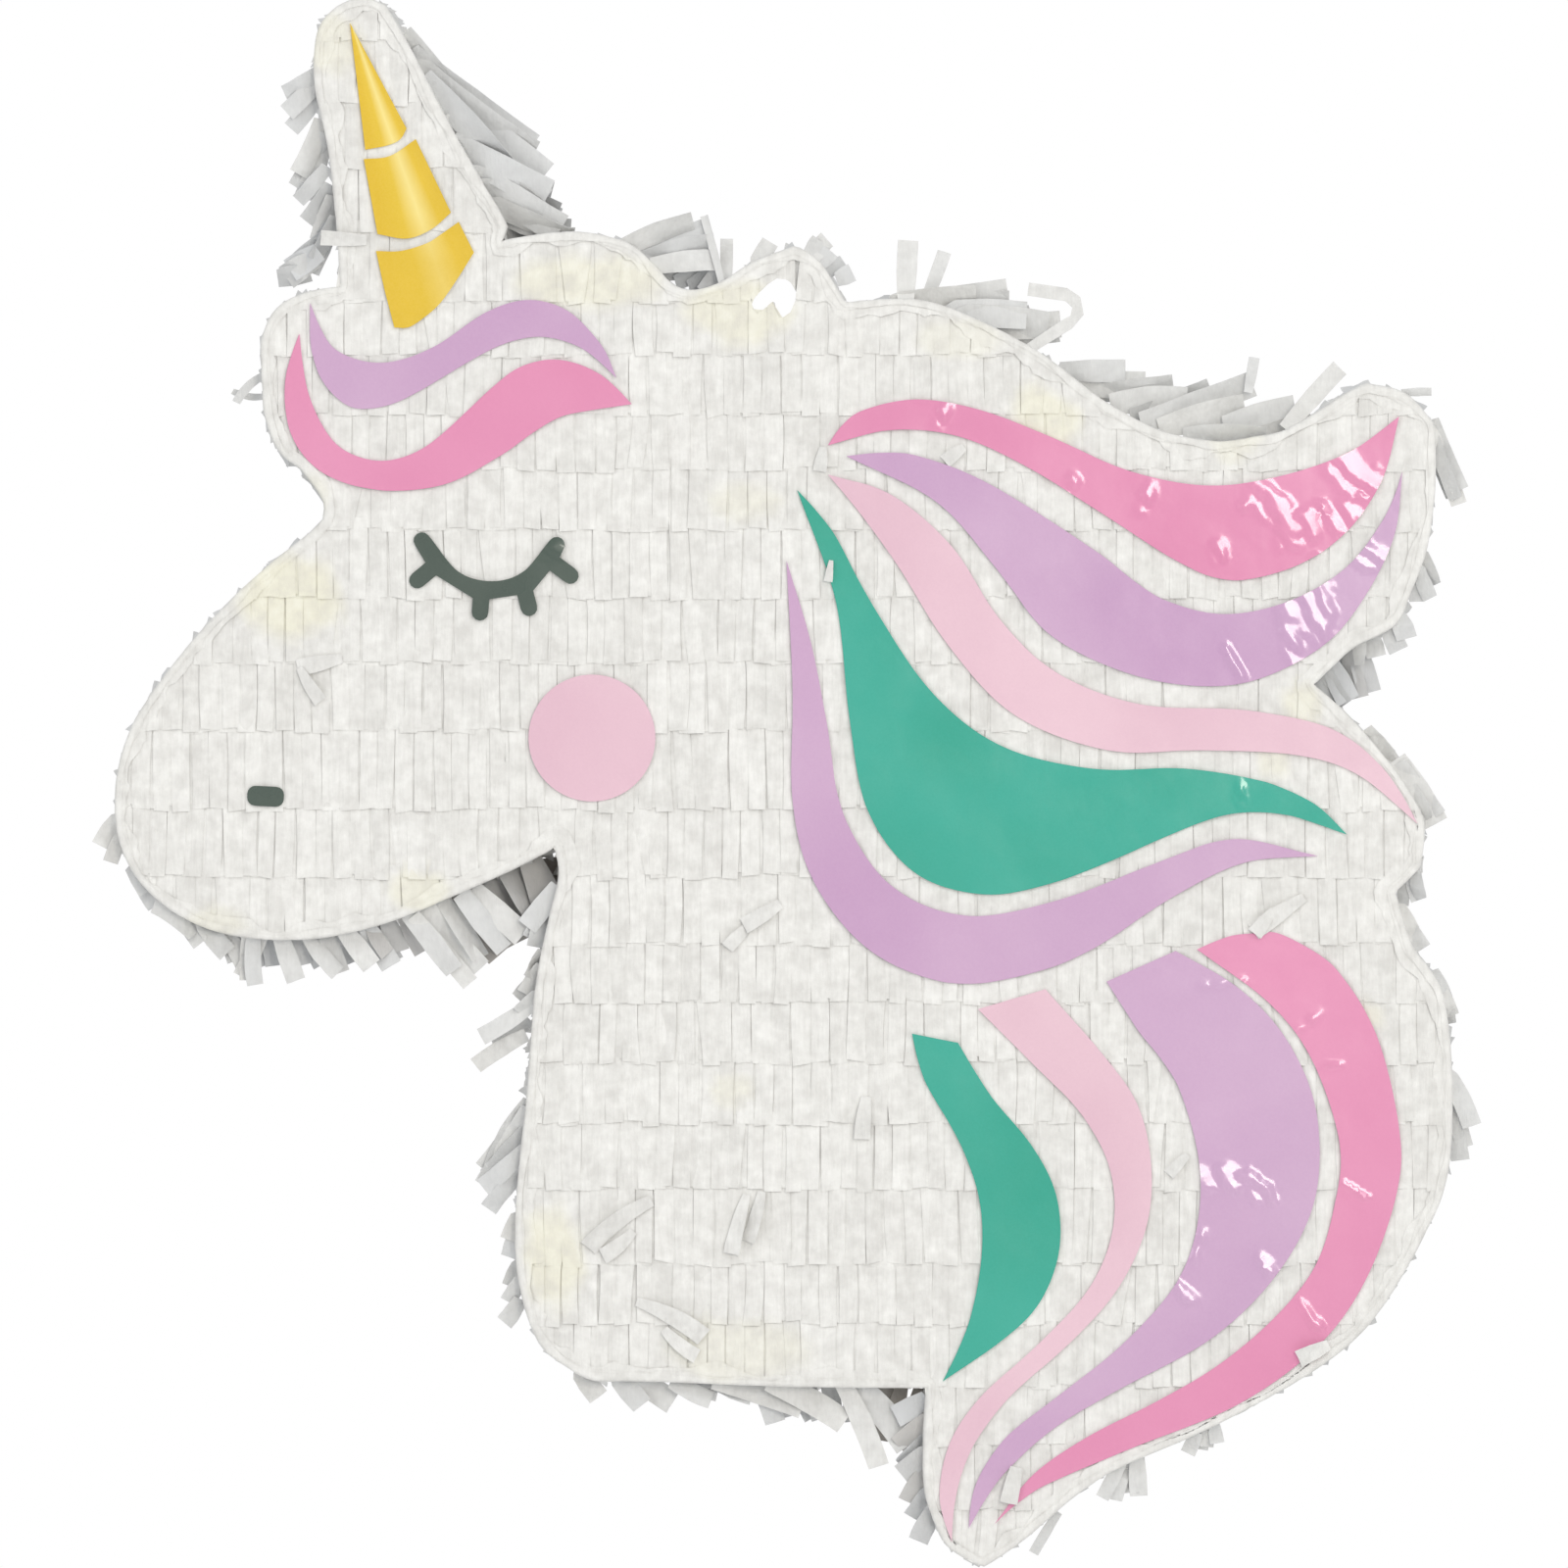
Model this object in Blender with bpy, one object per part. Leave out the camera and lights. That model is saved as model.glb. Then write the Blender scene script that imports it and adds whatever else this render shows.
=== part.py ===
"""Unicorn-head pinata.

Two cardboard faces of one outline stand 90 mm apart, with a cardboard wall bent round between them.
A flap cut in the back face opens for filling, and a hole through the tab at the top takes the rope.
Rows of cut tissue cover the front, the back and the wall, and die-cut stickers lie on the front.

Frame: +X to the right as seen from the front, +Y towards the back, +Z up. The origin is the centre
of the hanging hole, half way between the two faces. Outline points are (x, z) in millimetres, and
every outline runs clockwise as seen from the front.
"""

import math

import bmesh
import bpy
from mathutils import Vector

MM = 0.001

# Driving dimensions, in millimetres.
DEPTH = 90.0
PANEL_CARD = 3.0
WALL_CARD = 2.5
TISSUE = 1.2
STICKER = 0.6
GAP = 0.3
HANG_HOLE_RADIUS = 8.5
TISSUE_HOLE_RADIUS = 9.5
HOLE_SIDES = 24

# The fill flap hangs from a crease along its top edge, in the outer face of the back panel.
FLAP_LEFT = -40.0
FLAP_RIGHT = 50.0
FLAP_TOP = -212.5
FLAP_BOTTOM = -292.5
FLAP_CLEARANCE = 0.5
FLAP_CORNER = 4.0
CREASE_MARGIN = 2.5

# Longest step along a curved edge.
OUTLINE_STEP = 10.0
STICKER_STEP = 8.0

# Planes from front to back, as y.
FRONT = -DEPTH / 2
BACK = DEPTH / 2
FRONT_TISSUE = (FRONT - GAP - TISSUE, FRONT - GAP)
BACK_TISSUE = (BACK + GAP, BACK + GAP + TISSUE)
STICKER_LAYER = (FRONT_TISSUE[0] - GAP - STICKER, FRONT_TISSUE[0] - GAP)

# Lower edges of the tissue rows, top row first. The lowest row ends with the outline.
ROW_EDGES = [
    82.5, 62.0, 41.0, 20.0, -2.6, -20.0, -39.5, -57.5, -77.0, -99.5, -120.5, -142.5,
    -168.5, -190.5, -212.5, -231.5, -251.0, -271.0, -292.5, -317.0, -336.5, -357.0, -376.0, -397.0,
]
BACK_EDGES = [-190.5, -317.0]

# The outline, wall by wall. Each list of points is one smooth stretch, and stretches meet at corners.
OUTLINE = {
    "horn": [
        [(-140.5, 1.5), (-141.5, 21), (-144.5, 48.5), (-148.5, 66.5), (-149, 78), (-147, 87.5)],
        [(-147, 87.5), (-141, 93.5), (-134, 95.5), (-128, 93.5), (-122, 83.5)],
        [(-122, 83.5), (-107, 54.5), (-96, 35), (-88.5, 22), (-90, 16)],
    ],
    "crown": [
        [(-90, 16), (-81.5, 17.5), (-64, 19), (-46.5, 14.5), (-34.5, 2.5), (-27, 0)],
        [(-27, 0), (-17.5, 2.5), (-6, 9.5), (7, 14.5), (14, 9.5), (22.5, -4)],
        [(22.5, -4), (45.5, -3), (63.5, -8.5), (86.5, -20.5), (107, -36), (127.5, -46.5), (146, -49.5)],
        [(146, -49.5), (166.5, -46), (179, -39), (193.5, -30.5), (205.5, -33.5), (214.5, -43)],
        [(214.5, -43), (214.5, -64), (211, -86), (202, -107)],
        [(202, -107), (189, -114), (174.5, -127.5)],
    ],
    "mane": [
        [(174.5, -127.5), (185.5, -137.5), (201.5, -156), (211, -173), (210, -186.5), (201.5, -195)],
        [(201.5, -195), (207.5, -214), (216.5, -227), (220, -253), (219, -285), (212, -305), (195, -333.5),
         (175.5, -350.5), (142, -369), (106, -385.5), (80.5, -406), (68, -414.5)],
    ],
    "neck": [
        [(68, -414.5), (58, -408.5), (51, -393.5), (50, -377.5), (51, -356)],
        [(51, -356), (4, -355.5), (-35, -354), (-59, -353.5)],
        [(-59, -353.5), (-74.5, -343.5), (-82, -323), (-83, -297.5), (-79.5, -262), (-76.5, -225.5),
         (-71.5, -201), (-69, -189), (-71, -179)],
    ],
    "muzzle": [
        [(-71, -179), (-84.5, -186), (-104.5, -195), (-125, -203.5), (-145.5, -208.5), (-166, -209.5),
         (-186, -205.5), (-201.5, -196), (-211, -183), (-214, -165), (-209, -142.5), (-191.5, -117),
         (-170, -94.5), (-151, -79), (-146, -74)],
        [(-146, -74), (-146, -67), (-153.5, -56.5), (-160.5, -51)],
        [(-160.5, -51), (-165, -40), (-166, -14.5), (-162, -6), (-153.5, -1), (-140.5, 1.5)],
    ],
}

# Die-cut stickers, each made of smooth stretches that meet at corners.
STICKERS = {
    "horn_tip": [
        [(-138.5, 88.5), (-120, 54)],
        [(-120, 54), (-122, 50.5), (-126, 48.5), (-133.5, 47)],
        [(-133.5, 47), (-138.5, 88.5)],
    ],
    "horn_middle": [
        [(-134, 44), (-125.5, 45), (-117, 50.5)],
        [(-117, 50.5), (-105.5, 26.5)],
        [(-105.5, 26.5), (-112, 21), (-120, 18), (-129.5, 19.5)],
        [(-129.5, 19.5), (-134, 44)],
    ],
    "horn_base": [
        [(-130, 14), (-122, 14), (-113.5, 16.5), (-103, 23.5)],
        [(-103, 23.5), (-98, 13.5)],
        [(-98, 13.5), (-109, -3), (-119.5, -11), (-124, -11)],
        [(-124, -11), (-127.5, 2.5), (-130, 14)],
    ],
    "forelock_lilac": [
        [(-151.5, -3), (-144, -17.5), (-128.5, -22.5), (-111.5, -17.5), (-94, -6), (-79.5, -2), (-66, -6.5),
         (-55, -19), (-51.5, -27.5)],
        [(-51.5, -27.5), (-62.5, -18), (-76.5, -14), (-91, -17.5), (-107, -26.5), (-123.5, -35.5),
         (-138, -37), (-148, -27.5), (-151.5, -14.5), (-151.5, -3)],
    ],
    "forelock_pink": [
        [(-46.5, -36), (-70.5, -40.5), (-86.5, -51), (-107, -62), (-129.5, -64), (-148, -58), (-158, -45),
         (-159.5, -27.5), (-155, -13)],
        [(-155, -13), (-152, -32.5), (-143, -49), (-128.5, -54.5), (-114, -50), (-100, -38), (-85, -25),
         (-70.5, -21.5), (-56.5, -26.5), (-46.5, -36)],
    ],
    "mane_pink_top": [
        [(17.5, -49.5), (26, -39.5), (45.5, -34.5), (67.5, -38), (91, -47), (115, -57.5), (140, -62.5),
         (163, -60), (187, -52), (204, -40)],
        [(204, -40), (198.5, -60.5), (187, -77.5), (171, -88.5), (149.5, -93.5), (132, -87.5), (107.5, -72),
         (82.5, -56.5), (60, -46.5), (38, -44.5), (17.5, -49.5)],
    ],
    "mane_lilac_top": [
        [(23.5, -53), (42, -52), (64, -59), (86, -71.5), (108.5, -86.5), (124.5, -98.5), (145.5, -104.5),
         (167.5, -100.5), (187, -89), (200, -71.5), (205, -58)],
        [(205, -58), (202.5, -78.5), (193, -98.5), (179, -115), (155.5, -126.5), (132, -127.5),
         (109, -121.5), (88.5, -110), (73.5, -91), (53, -68), (23.5, -53)],
    ],
    "mane_pale_top": [
        [(17.5, -59), (38, -65.5), (58, -82.5), (73.5, -106), (92, -123.5), (119.5, -134), (154.5, -136),
         (183, -142.5), (200.5, -157), (210, -173)],
        [(210, -173), (190.5, -157), (170, -150.5), (139, -149), (109, -149), (78.5, -137.5), (57, -115),
         (40.5, -89), (27.5, -71), (17.5, -59)],
    ],
    "mane_teal_top": [
        [(7.5, -64), (19, -77.5), (31.5, -100.5), (51, -129.5), (74, -147.5), (104, -155), (134.5, -155),
         (162.5, -160), (179, -168.5), (187, -176.5)],
        [(187, -176.5), (166.5, -170), (148, -170), (129.5, -176.5), (109, -185.5), (88.5, -193),
         (68, -196), (46, -189), (30.5, -168.5), (24.5, -138), (20, -100), (7.5, -64)],
    ],
    "mane_lilac_long": [
        [(4, -87), (12, -114), (17.5, -142), (22.5, -169.5), (38, -193), (63, -203), (94, -197.5),
         (125.5, -185.5), (150, -178), (177.5, -183.5)],
        [(177.5, -183.5), (152.5, -186), (127.5, -198.5), (105.5, -213), (85, -221.5), (58, -225),
         (31.5, -214.5), (13, -192), (6, -165.5), (6, -129.5), (4, -87)],
    ],
    "mane_teal_low": [
        [(45, -241.5), (60, -244.5)],
        [(60, -244.5), (70.5, -261.5), (84, -278), (92, -294), (93, -312.5), (86.5, -329.5),
         (74.5, -341.5), (55, -355)],
        [(55, -355), (63, -337.5), (67.5, -316), (67, -296), (60.5, -277), (49, -256.5), (45, -241.5)],
    ],
    "mane_pale_low": [
        [(66.5, -233.5), (88.5, -227)],
        [(88.5, -227), (107, -248), (118.5, -264.5), (123, -284), (121.5, -304.5), (112, -325),
         (96.5, -342.5), (76.5, -360.5), (64, -378), (59, -394.5), (58, -407.5)],
        [(58, -407.5), (54, -393.5), (57, -376), (67, -360.5), (85.5, -343.5), (102.5, -325),
         (110.5, -305.5), (109.5, -285.5), (100, -267.5), (85, -252), (66.5, -233.5)],
    ],
    "mane_lilac_low": [
        [(108.5, -224.5), (131, -214.5)],
        [(131, -214.5), (150, -225.5), (164.5, -239.5), (174.5, -258), (178, -277), (175.5, -299),
         (163, -321.5), (142, -341.5), (111, -358.5), (90.5, -371), (73.5, -387), (63.5, -403)],
        [(63.5, -403), (65.5, -389.5), (75, -374), (93, -359.5), (113, -343.5), (130.5, -324),
         (138, -304.5), (138.5, -282), (131, -257), (119.5, -241.5), (108.5, -224.5)],
    ],
    "mane_pink_low": [
        [(138, -214), (149.5, -209.5), (163.5, -208.5)],
        [(163.5, -208.5), (181, -218), (196, -240.5), (204, -272.5), (203, -294.5), (192.5, -323),
         (176.5, -344.5), (150.5, -363), (115, -377.5), (85.5, -390.5), (72, -401.5)],
        [(72, -401.5), (84.5, -385.5), (102.5, -373), (124, -362), (144.5, -350), (163, -334.5),
         (176.5, -317.5), (183, -297), (184.5, -277), (175.5, -250), (161.5, -231.5), (138, -214)],
    ],
}

# The closed eye is a curved stroke with four lashes, each from a root on the stroke to its tip.
EYE_STROKE = [(-115, -80.5), (-104.5, -93), (-92, -96.5), (-80.5, -93), (-71, -82)]
EYE_LASHES = [
    ((-110.5, -88.5), (-116.5, -93.5)),
    ((-95.5, -97), (-96, -104)),
    ((-82, -95), (-80, -102.5)),
    ((-72.5, -87.5), (-66.5, -92)),
]
EYE_LINE_WIDTH = 5.4

NOSTRIL_CENTRE = (-166, -164)
NOSTRIL_SIZE = (12.0, 6.5)
NOSTRIL_CORNER = 2.6
NOSTRIL_TILT = math.radians(-3)

CHEEK_CENTRE = (-59.5, -145)
CHEEK_RADIUS = 20.7
CHEEK_SIDES = 40

# Colour, roughness.
CARDBOARD = ((0.36, 0.24, 0.13), 0.9)
WHITE_TISSUE = ((0.84, 0.84, 0.80), 0.85)
GOLD = ((0.72, 0.48, 0.03), 0.25)
PINK = ((0.83, 0.29, 0.49), 0.3)
LILAC = ((0.66, 0.43, 0.63), 0.3)
PALE_PINK = ((0.80, 0.56, 0.64), 0.3)
TEAL = ((0.08, 0.45, 0.33), 0.3)
CHARCOAL = ((0.06, 0.08, 0.065), 0.35)

STICKER_FINISH = {
    "horn": GOLD, "forelock_lilac": LILAC, "forelock_pink": PINK, "mane_pink": PINK,
    "mane_lilac": LILAC, "mane_pale": PALE_PINK, "mane_teal": TEAL, "cheek": PALE_PINK,
    "eye": CHARCOAL, "nostril": CHARCOAL,
}


# Curves and outlines

def smooth_stretch(knots, step):
    """Points on the smooth curve through the knots, no further apart than step, without the last."""
    if len(knots) == 2:
        return [Vector(knots[0])]
    line = [Vector(k) for k in knots]
    line = [2 * line[0] - line[1]] + line + [2 * line[-1] - line[-2]]
    points = []
    for before, start, end, after in zip(line, line[1:], line[2:], line[3:]):
        count = max(1, round((end - start).length / step))
        for i in range(count):
            t = i / count
            points.append(
                0.5 * (2 * start + (end - before) * t
                       + (2 * before - 5 * start + 4 * end - after) * t * t
                       + (3 * start - before - 3 * end + after) * t * t * t)
            )
    return points


def closed_outline(stretches, step):
    points = []
    for knots in stretches:
        points += smooth_stretch(knots, step)
    return points


def arc(centre, radius, start, end, sides):
    """Points from angle start to angle end, both included."""
    angles = [start + (end - start) * i / sides for i in range(sides + 1)]
    return [Vector(centre) + radius * Vector((math.cos(a), math.sin(a))) for a in angles]


def circle(centre, radius, sides):
    return arc(centre, radius, math.tau, 0, sides)[:-1]


def rounded_rectangle(centre, size, corner, tilt=0.0, sides=4):
    """A clockwise rectangle with round corners."""
    points = []
    for sx, sz, start in ((1, 1, 90), (1, -1, 0), (-1, -1, -90), (-1, 1, -180)):
        middle = Vector((sx * (size[0] / 2 - corner), sz * (size[1] / 2 - corner)))
        points += arc(middle, corner, math.radians(start), math.radians(start - 90), sides)
    turn = Vector((math.cos(tilt), math.sin(tilt)))
    return [
        Vector(centre) + Vector((p.x * turn.x - p.y * turn.y, p.x * turn.y + p.y * turn.x)) for p in points
    ]


def outward(before, here, after, distance):
    """Where a clockwise outline's point goes when both of its edges move outward by distance."""
    first = (here - before).normalized()
    second = (after - here).normalized()
    normal = Vector((-first.y, first.x)) + Vector((-second.y, second.x))
    normal.normalize()
    sharpness = max(0.35, normal.dot(Vector((-first.y, first.x))))
    return here + normal * distance / sharpness


def offset(points, distance):
    count = len(points)
    return [outward(points[i - 1], points[i], points[(i + 1) % count], distance) for i in range(count)]


def area(points):
    """Positive for a clockwise outline."""
    return 0.5 * sum(b.x * a.y - a.x * b.y for a, b in zip(points, points[1:] + points[:1]))


# Blender objects

def material(name, finish):
    colour, roughness = finish
    made = bpy.data.materials.new(name)
    made.use_nodes = True
    shader = made.node_tree.nodes["Principled BSDF"]
    shader.inputs["Base Color"].default_value = (*colour, 1)
    shader.inputs["Roughness"].default_value = roughness
    shader.inputs["Metallic"].default_value = 0
    return made


def empty(name, location=(0, 0, 0), parent=None):
    made = bpy.data.objects.new(name, None)
    bpy.context.collection.objects.link(made)
    made.location = Vector(location) * MM
    made.parent = parent
    return made


def slab(name, points, y_range, finish, parent, pivot=(0, 0, 0)):
    """A flat piece with the outline, from y_range[0] to y_range[1], its origin at the pivot."""
    mesh = bmesh.new()
    pivot = Vector(pivot)
    rings = []
    for y in y_range:
        rings.append([mesh.verts.new((Vector((p.x, y, p.y)) - pivot) * MM) for p in points])
    front, back = rings
    mesh.faces.new(front)
    mesh.faces.new(list(reversed(back)))
    for i in range(len(points)):
        mesh.faces.new((front[i - 1], back[i - 1], back[i], front[i]))
    bmesh.ops.recalc_face_normals(mesh, faces=mesh.faces[:])
    data = bpy.data.meshes.new(name)
    mesh.to_mesh(data)
    mesh.free()
    made = bpy.data.objects.new(name, data)
    bpy.context.collection.objects.link(made)
    made.parent = parent
    if finish:
        data.materials.append(material(name, finish))
    return made


def cutter(name, points, parent):
    """A guide that passes through the whole object and is only used to cut holes."""
    made = slab(name, points, (-DEPTH, DEPTH), None, parent)
    made.hide_render = True
    made.display_type = "WIRE"
    return made


def cut(piece, tool):
    modifier = piece.modifiers.new("cut_" + tool.name, "BOOLEAN")
    modifier.operation = "DIFFERENCE"
    modifier.solver = "EXACT"
    modifier.object = tool


# Rows of tissue

def without_straight_points(points):
    kept = []
    for before, here, after in zip(points[-1:] + points, points, points[1:] + points[:1]):
        if abs((here - before).normalized().cross((after - here).normalized())) > 0.001:
            kept.append(here)
    return kept


def split_into_rows(outline, edges):
    """Cuts the outline along the horizontal edges and returns one outline for each row, top first.

    A scrap that the cuts leave apart from its row goes to the row beside it.
    """
    mesh = bmesh.new()
    mesh.faces.new([mesh.verts.new((p.x, 0, p.y)) for p in outline]).normal_update()
    for z in edges:
        everything = mesh.verts[:] + mesh.edges[:] + mesh.faces[:]
        bmesh.ops.bisect_plane(mesh, geom=everything, dist=0.4, plane_co=(0, 0, z), plane_no=(0, 0, 1))
    rows = [[] for _ in range(len(edges) + 1)]
    for face in mesh.faces:
        heights = [v.co.z for v in face.verts]
        middle = (min(heights) + max(heights)) / 2
        rows[sum(middle < z for z in edges)].append(face)
    for row in rows:
        row.sort(key=lambda face: -face.calc_area())
    for scrap in [face for row in rows for face in row[1:]]:
        shared = max((e for e in scrap.edges if len(e.link_faces) == 2), key=lambda e: e.calc_length())
        beside = next(face for face in shared.link_faces if face != scrap)
        row = next(row for row in rows if row[0] == beside)
        row[0] = bmesh.ops.dissolve_faces(mesh, faces=[beside, scrap])["region"][0]
    outlines = []
    for row in rows:
        points = without_straight_points([Vector((v.co.x, v.co.z)) for v in row[0].verts])
        outlines.append(points if area(points) > 0 else points[::-1])
    mesh.free()
    return outlines


def row_slabs(prefix, outline, edges, y_range, parent):
    made = []
    for number, points in enumerate(split_into_rows(outline, edges), 1):
        made.append(
            slab(f"{prefix}_{number:02d}", offset(points, -GAP / 2), y_range, WHITE_TISSUE, parent)
        )
    return made


def reaches(piece, low, high):
    """Whether any of the piece lies between two heights."""
    heights = [v.co.z / MM for v in piece.data.vertices]
    return min(heights) < high and max(heights) > low


# The wall

def shortened(chain, amount):
    """The chain with its two ends drawn in along it."""
    chain = list(chain)
    chain[0] = chain[0] + (chain[1] - chain[0]).normalized() * amount
    chain[-1] = chain[-1] + (chain[-2] - chain[-1]).normalized() * amount
    return chain


def band_along(outline, start, count, inner, outer):
    """The outline of a strip that follows part of the outer edge, between two offsets from it."""
    picked = [(start + i) % len(outline) for i in range(count + 1)]
    outside = offset(outline, outer)
    inside = offset(outline, inner)
    outside = shortened([outside[i] for i in picked], GAP)
    inside = shortened([inside[i] for i in picked], GAP)
    return outside + inside[::-1]


def build_walls(outline, shell):
    start = 0
    for side, stretches in OUTLINE.items():
        count = len(closed_outline(stretches, OUTLINE_STEP))
        half = DEPTH / 2 - PANEL_CARD - GAP
        strip = band_along(outline, start, count, -WALL_CARD, 0)
        slab(f"wall_{side}", strip, (-half, half), CARDBOARD, shell)
        cover = band_along(outline, start, count, GAP, GAP + TISSUE)
        slab(f"wall_fringe_{side}", cover, (FRONT + GAP, BACK - GAP), WHITE_TISSUE, shell)
        start += count


# The faces

def build_front(outline, shell, hole, tissue_hole):
    panel = slab("front_panel", outline, (FRONT, FRONT + PANEL_CARD), CARDBOARD, shell)
    cut(panel, hole)
    for row in row_slabs("front_fringe", outline, ROW_EDGES, FRONT_TISSUE, shell):
        if reaches(row, -TISSUE_HOLE_RADIUS, TISSUE_HOLE_RADIUS):
            cut(row, tissue_hole)


def flap_outline(margin, top):
    """The flap's rectangle grown by margin, with its upper edge at top."""
    bottom = FLAP_BOTTOM - margin
    centre = ((FLAP_LEFT + FLAP_RIGHT) / 2, (top + bottom) / 2)
    size = (FLAP_RIGHT - FLAP_LEFT + 2 * margin, top - bottom)
    return rounded_rectangle(centre, size, FLAP_CORNER)


def build_back(outline, shell, hole, tissue_hole):
    panel = slab("back_panel", outline, (BACK - PANEL_CARD, BACK), CARDBOARD, shell)
    cut(panel, hole)
    cut(panel, cutter("fill_opening_cutter", flap_outline(0, FLAP_TOP), shell))
    names = ("back_fringe_upper", "back_fringe_middle", "back_fringe_lower")
    parts = split_into_rows(outline, BACK_EDGES)
    upper, middle, lower = [
        slab(name, offset(points, -GAP / 2), BACK_TISSUE, WHITE_TISSUE, shell)
        for name, points in zip(names, parts)
    ]
    cut(upper, tissue_hole)
    around = flap_outline(FLAP_CLEARANCE, FLAP_TOP + CREASE_MARGIN)
    cut(middle, cutter("fringe_opening_cutter", around, shell))


def build_flap(shell):
    crease = (0, BACK, FLAP_TOP)
    hinge = empty("flap_hinge", crease, shell)
    card = flap_outline(-FLAP_CLEARANCE, FLAP_TOP - FLAP_CLEARANCE)
    slab("fill_flap", card, (BACK - PANEL_CARD, BACK), CARDBOARD, hinge, crease)
    tissue = flap_outline(-FLAP_CLEARANCE, FLAP_TOP - CREASE_MARGIN)
    slab("flap_fringe", tissue, BACK_TISSUE, WHITE_TISSUE, hinge, crease)


# The stickers

def eye_outline():
    """The outline round the curved stroke and its four lashes, lashes on the lower side."""
    half = EYE_LINE_WIDTH / 2
    spine = smooth_stretch(EYE_STROKE, 4.0) + [Vector(EYE_STROKE[-1])]
    upper = []
    for i, here in enumerate(spine):
        along = (spine[min(i + 1, len(spine) - 1)] - spine[max(i - 1, 0)]).normalized()
        upper.append(here + Vector((-along.y, along.x)) * half)
    last = (spine[-1] - spine[-2]).normalized()
    first = (spine[1] - spine[0]).normalized()
    end_angle = math.atan2(last.x, -last.y)
    start_angle = math.atan2(-first.x, first.y)
    points = upper[:-1] + arc(spine[-1], half, end_angle, end_angle - math.pi, 6)
    for root, tip in reversed(EYE_LASHES):
        along = (Vector(tip) - Vector(root)).normalized()
        side = Vector((-along.y, along.x)) * half
        nearest = min(spine, key=lambda p: (p - Vector(root)).length)
        index = spine.index(nearest)
        across = (spine[min(index + 1, len(spine) - 1)] - spine[max(index - 1, 0)]).normalized()
        edge = nearest - Vector((-across.y, across.x)) * half
        reach = max(0.0, (edge - Vector(root)).dot(along)) + 0.6
        angle = math.atan2(side.y, side.x)
        points.append(Vector(root) + side + along * reach)
        points += arc(tip, half, angle, angle - math.pi, 6)
        points.append(Vector(root) - side + along * reach)
    points += arc(spine[0], half, start_angle, start_angle - math.pi, 6)[:-1]
    return points


def build_stickers(shell):
    outlines = {name: closed_outline(stretches, STICKER_STEP) for name, stretches in STICKERS.items()}
    outlines["eye"] = eye_outline()
    outlines["nostril"] = rounded_rectangle(NOSTRIL_CENTRE, NOSTRIL_SIZE, NOSTRIL_CORNER, NOSTRIL_TILT)
    outlines["cheek"] = circle(CHEEK_CENTRE, CHEEK_RADIUS, CHEEK_SIDES)
    for name, points in outlines.items():
        finish = next(f for start, f in STICKER_FINISH.items() if name.startswith(start))
        slab(name, points, STICKER_LAYER, finish, shell)


def main():
    for old in list(bpy.data.objects):
        bpy.data.objects.remove(old, do_unlink=True)
    outline = closed_outline([s for stretches in OUTLINE.values() for s in stretches], OUTLINE_STEP)
    shell = empty("shell")
    hole = cutter("hang_hole_cutter", circle((0, 0), HANG_HOLE_RADIUS, HOLE_SIDES), shell)
    tissue_hole = cutter("tissue_hole_cutter", circle((0, 0), TISSUE_HOLE_RADIUS, HOLE_SIDES), shell)
    build_front(outline, shell, hole, tissue_hole)
    build_back(outline, shell, hole, tissue_hole)
    build_walls(outline, shell)
    build_flap(shell)
    build_stickers(shell)


main()
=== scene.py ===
"""Looks of the unicorn-head pinata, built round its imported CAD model.

Rows of cut tissue strips cover the front, the back, the flap and the wall, glossy stickers lie on
the front, and the cardboard shows in the openings. Every outline comes from the CAD nodes. Sizes
here are in millimetres, with points on a face as (x, z), and meshes are made in metres. A height is
how far something stands off the card face beneath it.
"""

import math
import random

import bpy
import numpy as np
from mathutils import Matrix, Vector, noise
from mathutils.geometry import delaunay_2d_cdt


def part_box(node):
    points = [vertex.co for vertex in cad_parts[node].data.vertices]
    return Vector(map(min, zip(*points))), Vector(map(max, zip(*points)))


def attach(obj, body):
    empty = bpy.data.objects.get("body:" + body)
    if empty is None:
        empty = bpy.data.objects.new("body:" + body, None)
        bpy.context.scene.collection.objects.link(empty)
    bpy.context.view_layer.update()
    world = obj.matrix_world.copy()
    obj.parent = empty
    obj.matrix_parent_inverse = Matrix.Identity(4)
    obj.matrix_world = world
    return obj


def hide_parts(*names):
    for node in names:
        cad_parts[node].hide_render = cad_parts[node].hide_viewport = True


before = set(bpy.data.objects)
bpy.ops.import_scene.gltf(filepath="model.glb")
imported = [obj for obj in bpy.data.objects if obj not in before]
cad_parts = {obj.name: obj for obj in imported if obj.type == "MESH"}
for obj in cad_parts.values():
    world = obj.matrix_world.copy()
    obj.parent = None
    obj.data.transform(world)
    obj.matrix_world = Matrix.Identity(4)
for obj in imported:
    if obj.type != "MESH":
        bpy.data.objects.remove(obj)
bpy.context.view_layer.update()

MM = 0.001
RANDOM = random.Random(11)

# The card faces and the rows of tissue on the front, top row first.
FRONT, BACK = (round(v.y / MM, 2) for v in (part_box("front_panel")[0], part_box("back_panel")[1]))
FRONT_ROWS = sorted(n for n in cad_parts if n.startswith("front_fringe"))

# A node's level faces are found to within LEVEL_MARGIN. An outline keeps a sharp point where it
# turns more than SHARP. The steps are the distances between its points.
LEVEL_MARGIN = 0.02
SHARP = math.radians(38)
OUTLINE_STEP = 2.0
STICKER_STEP = 1.5
HOLE_STEP = 1.0

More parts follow.
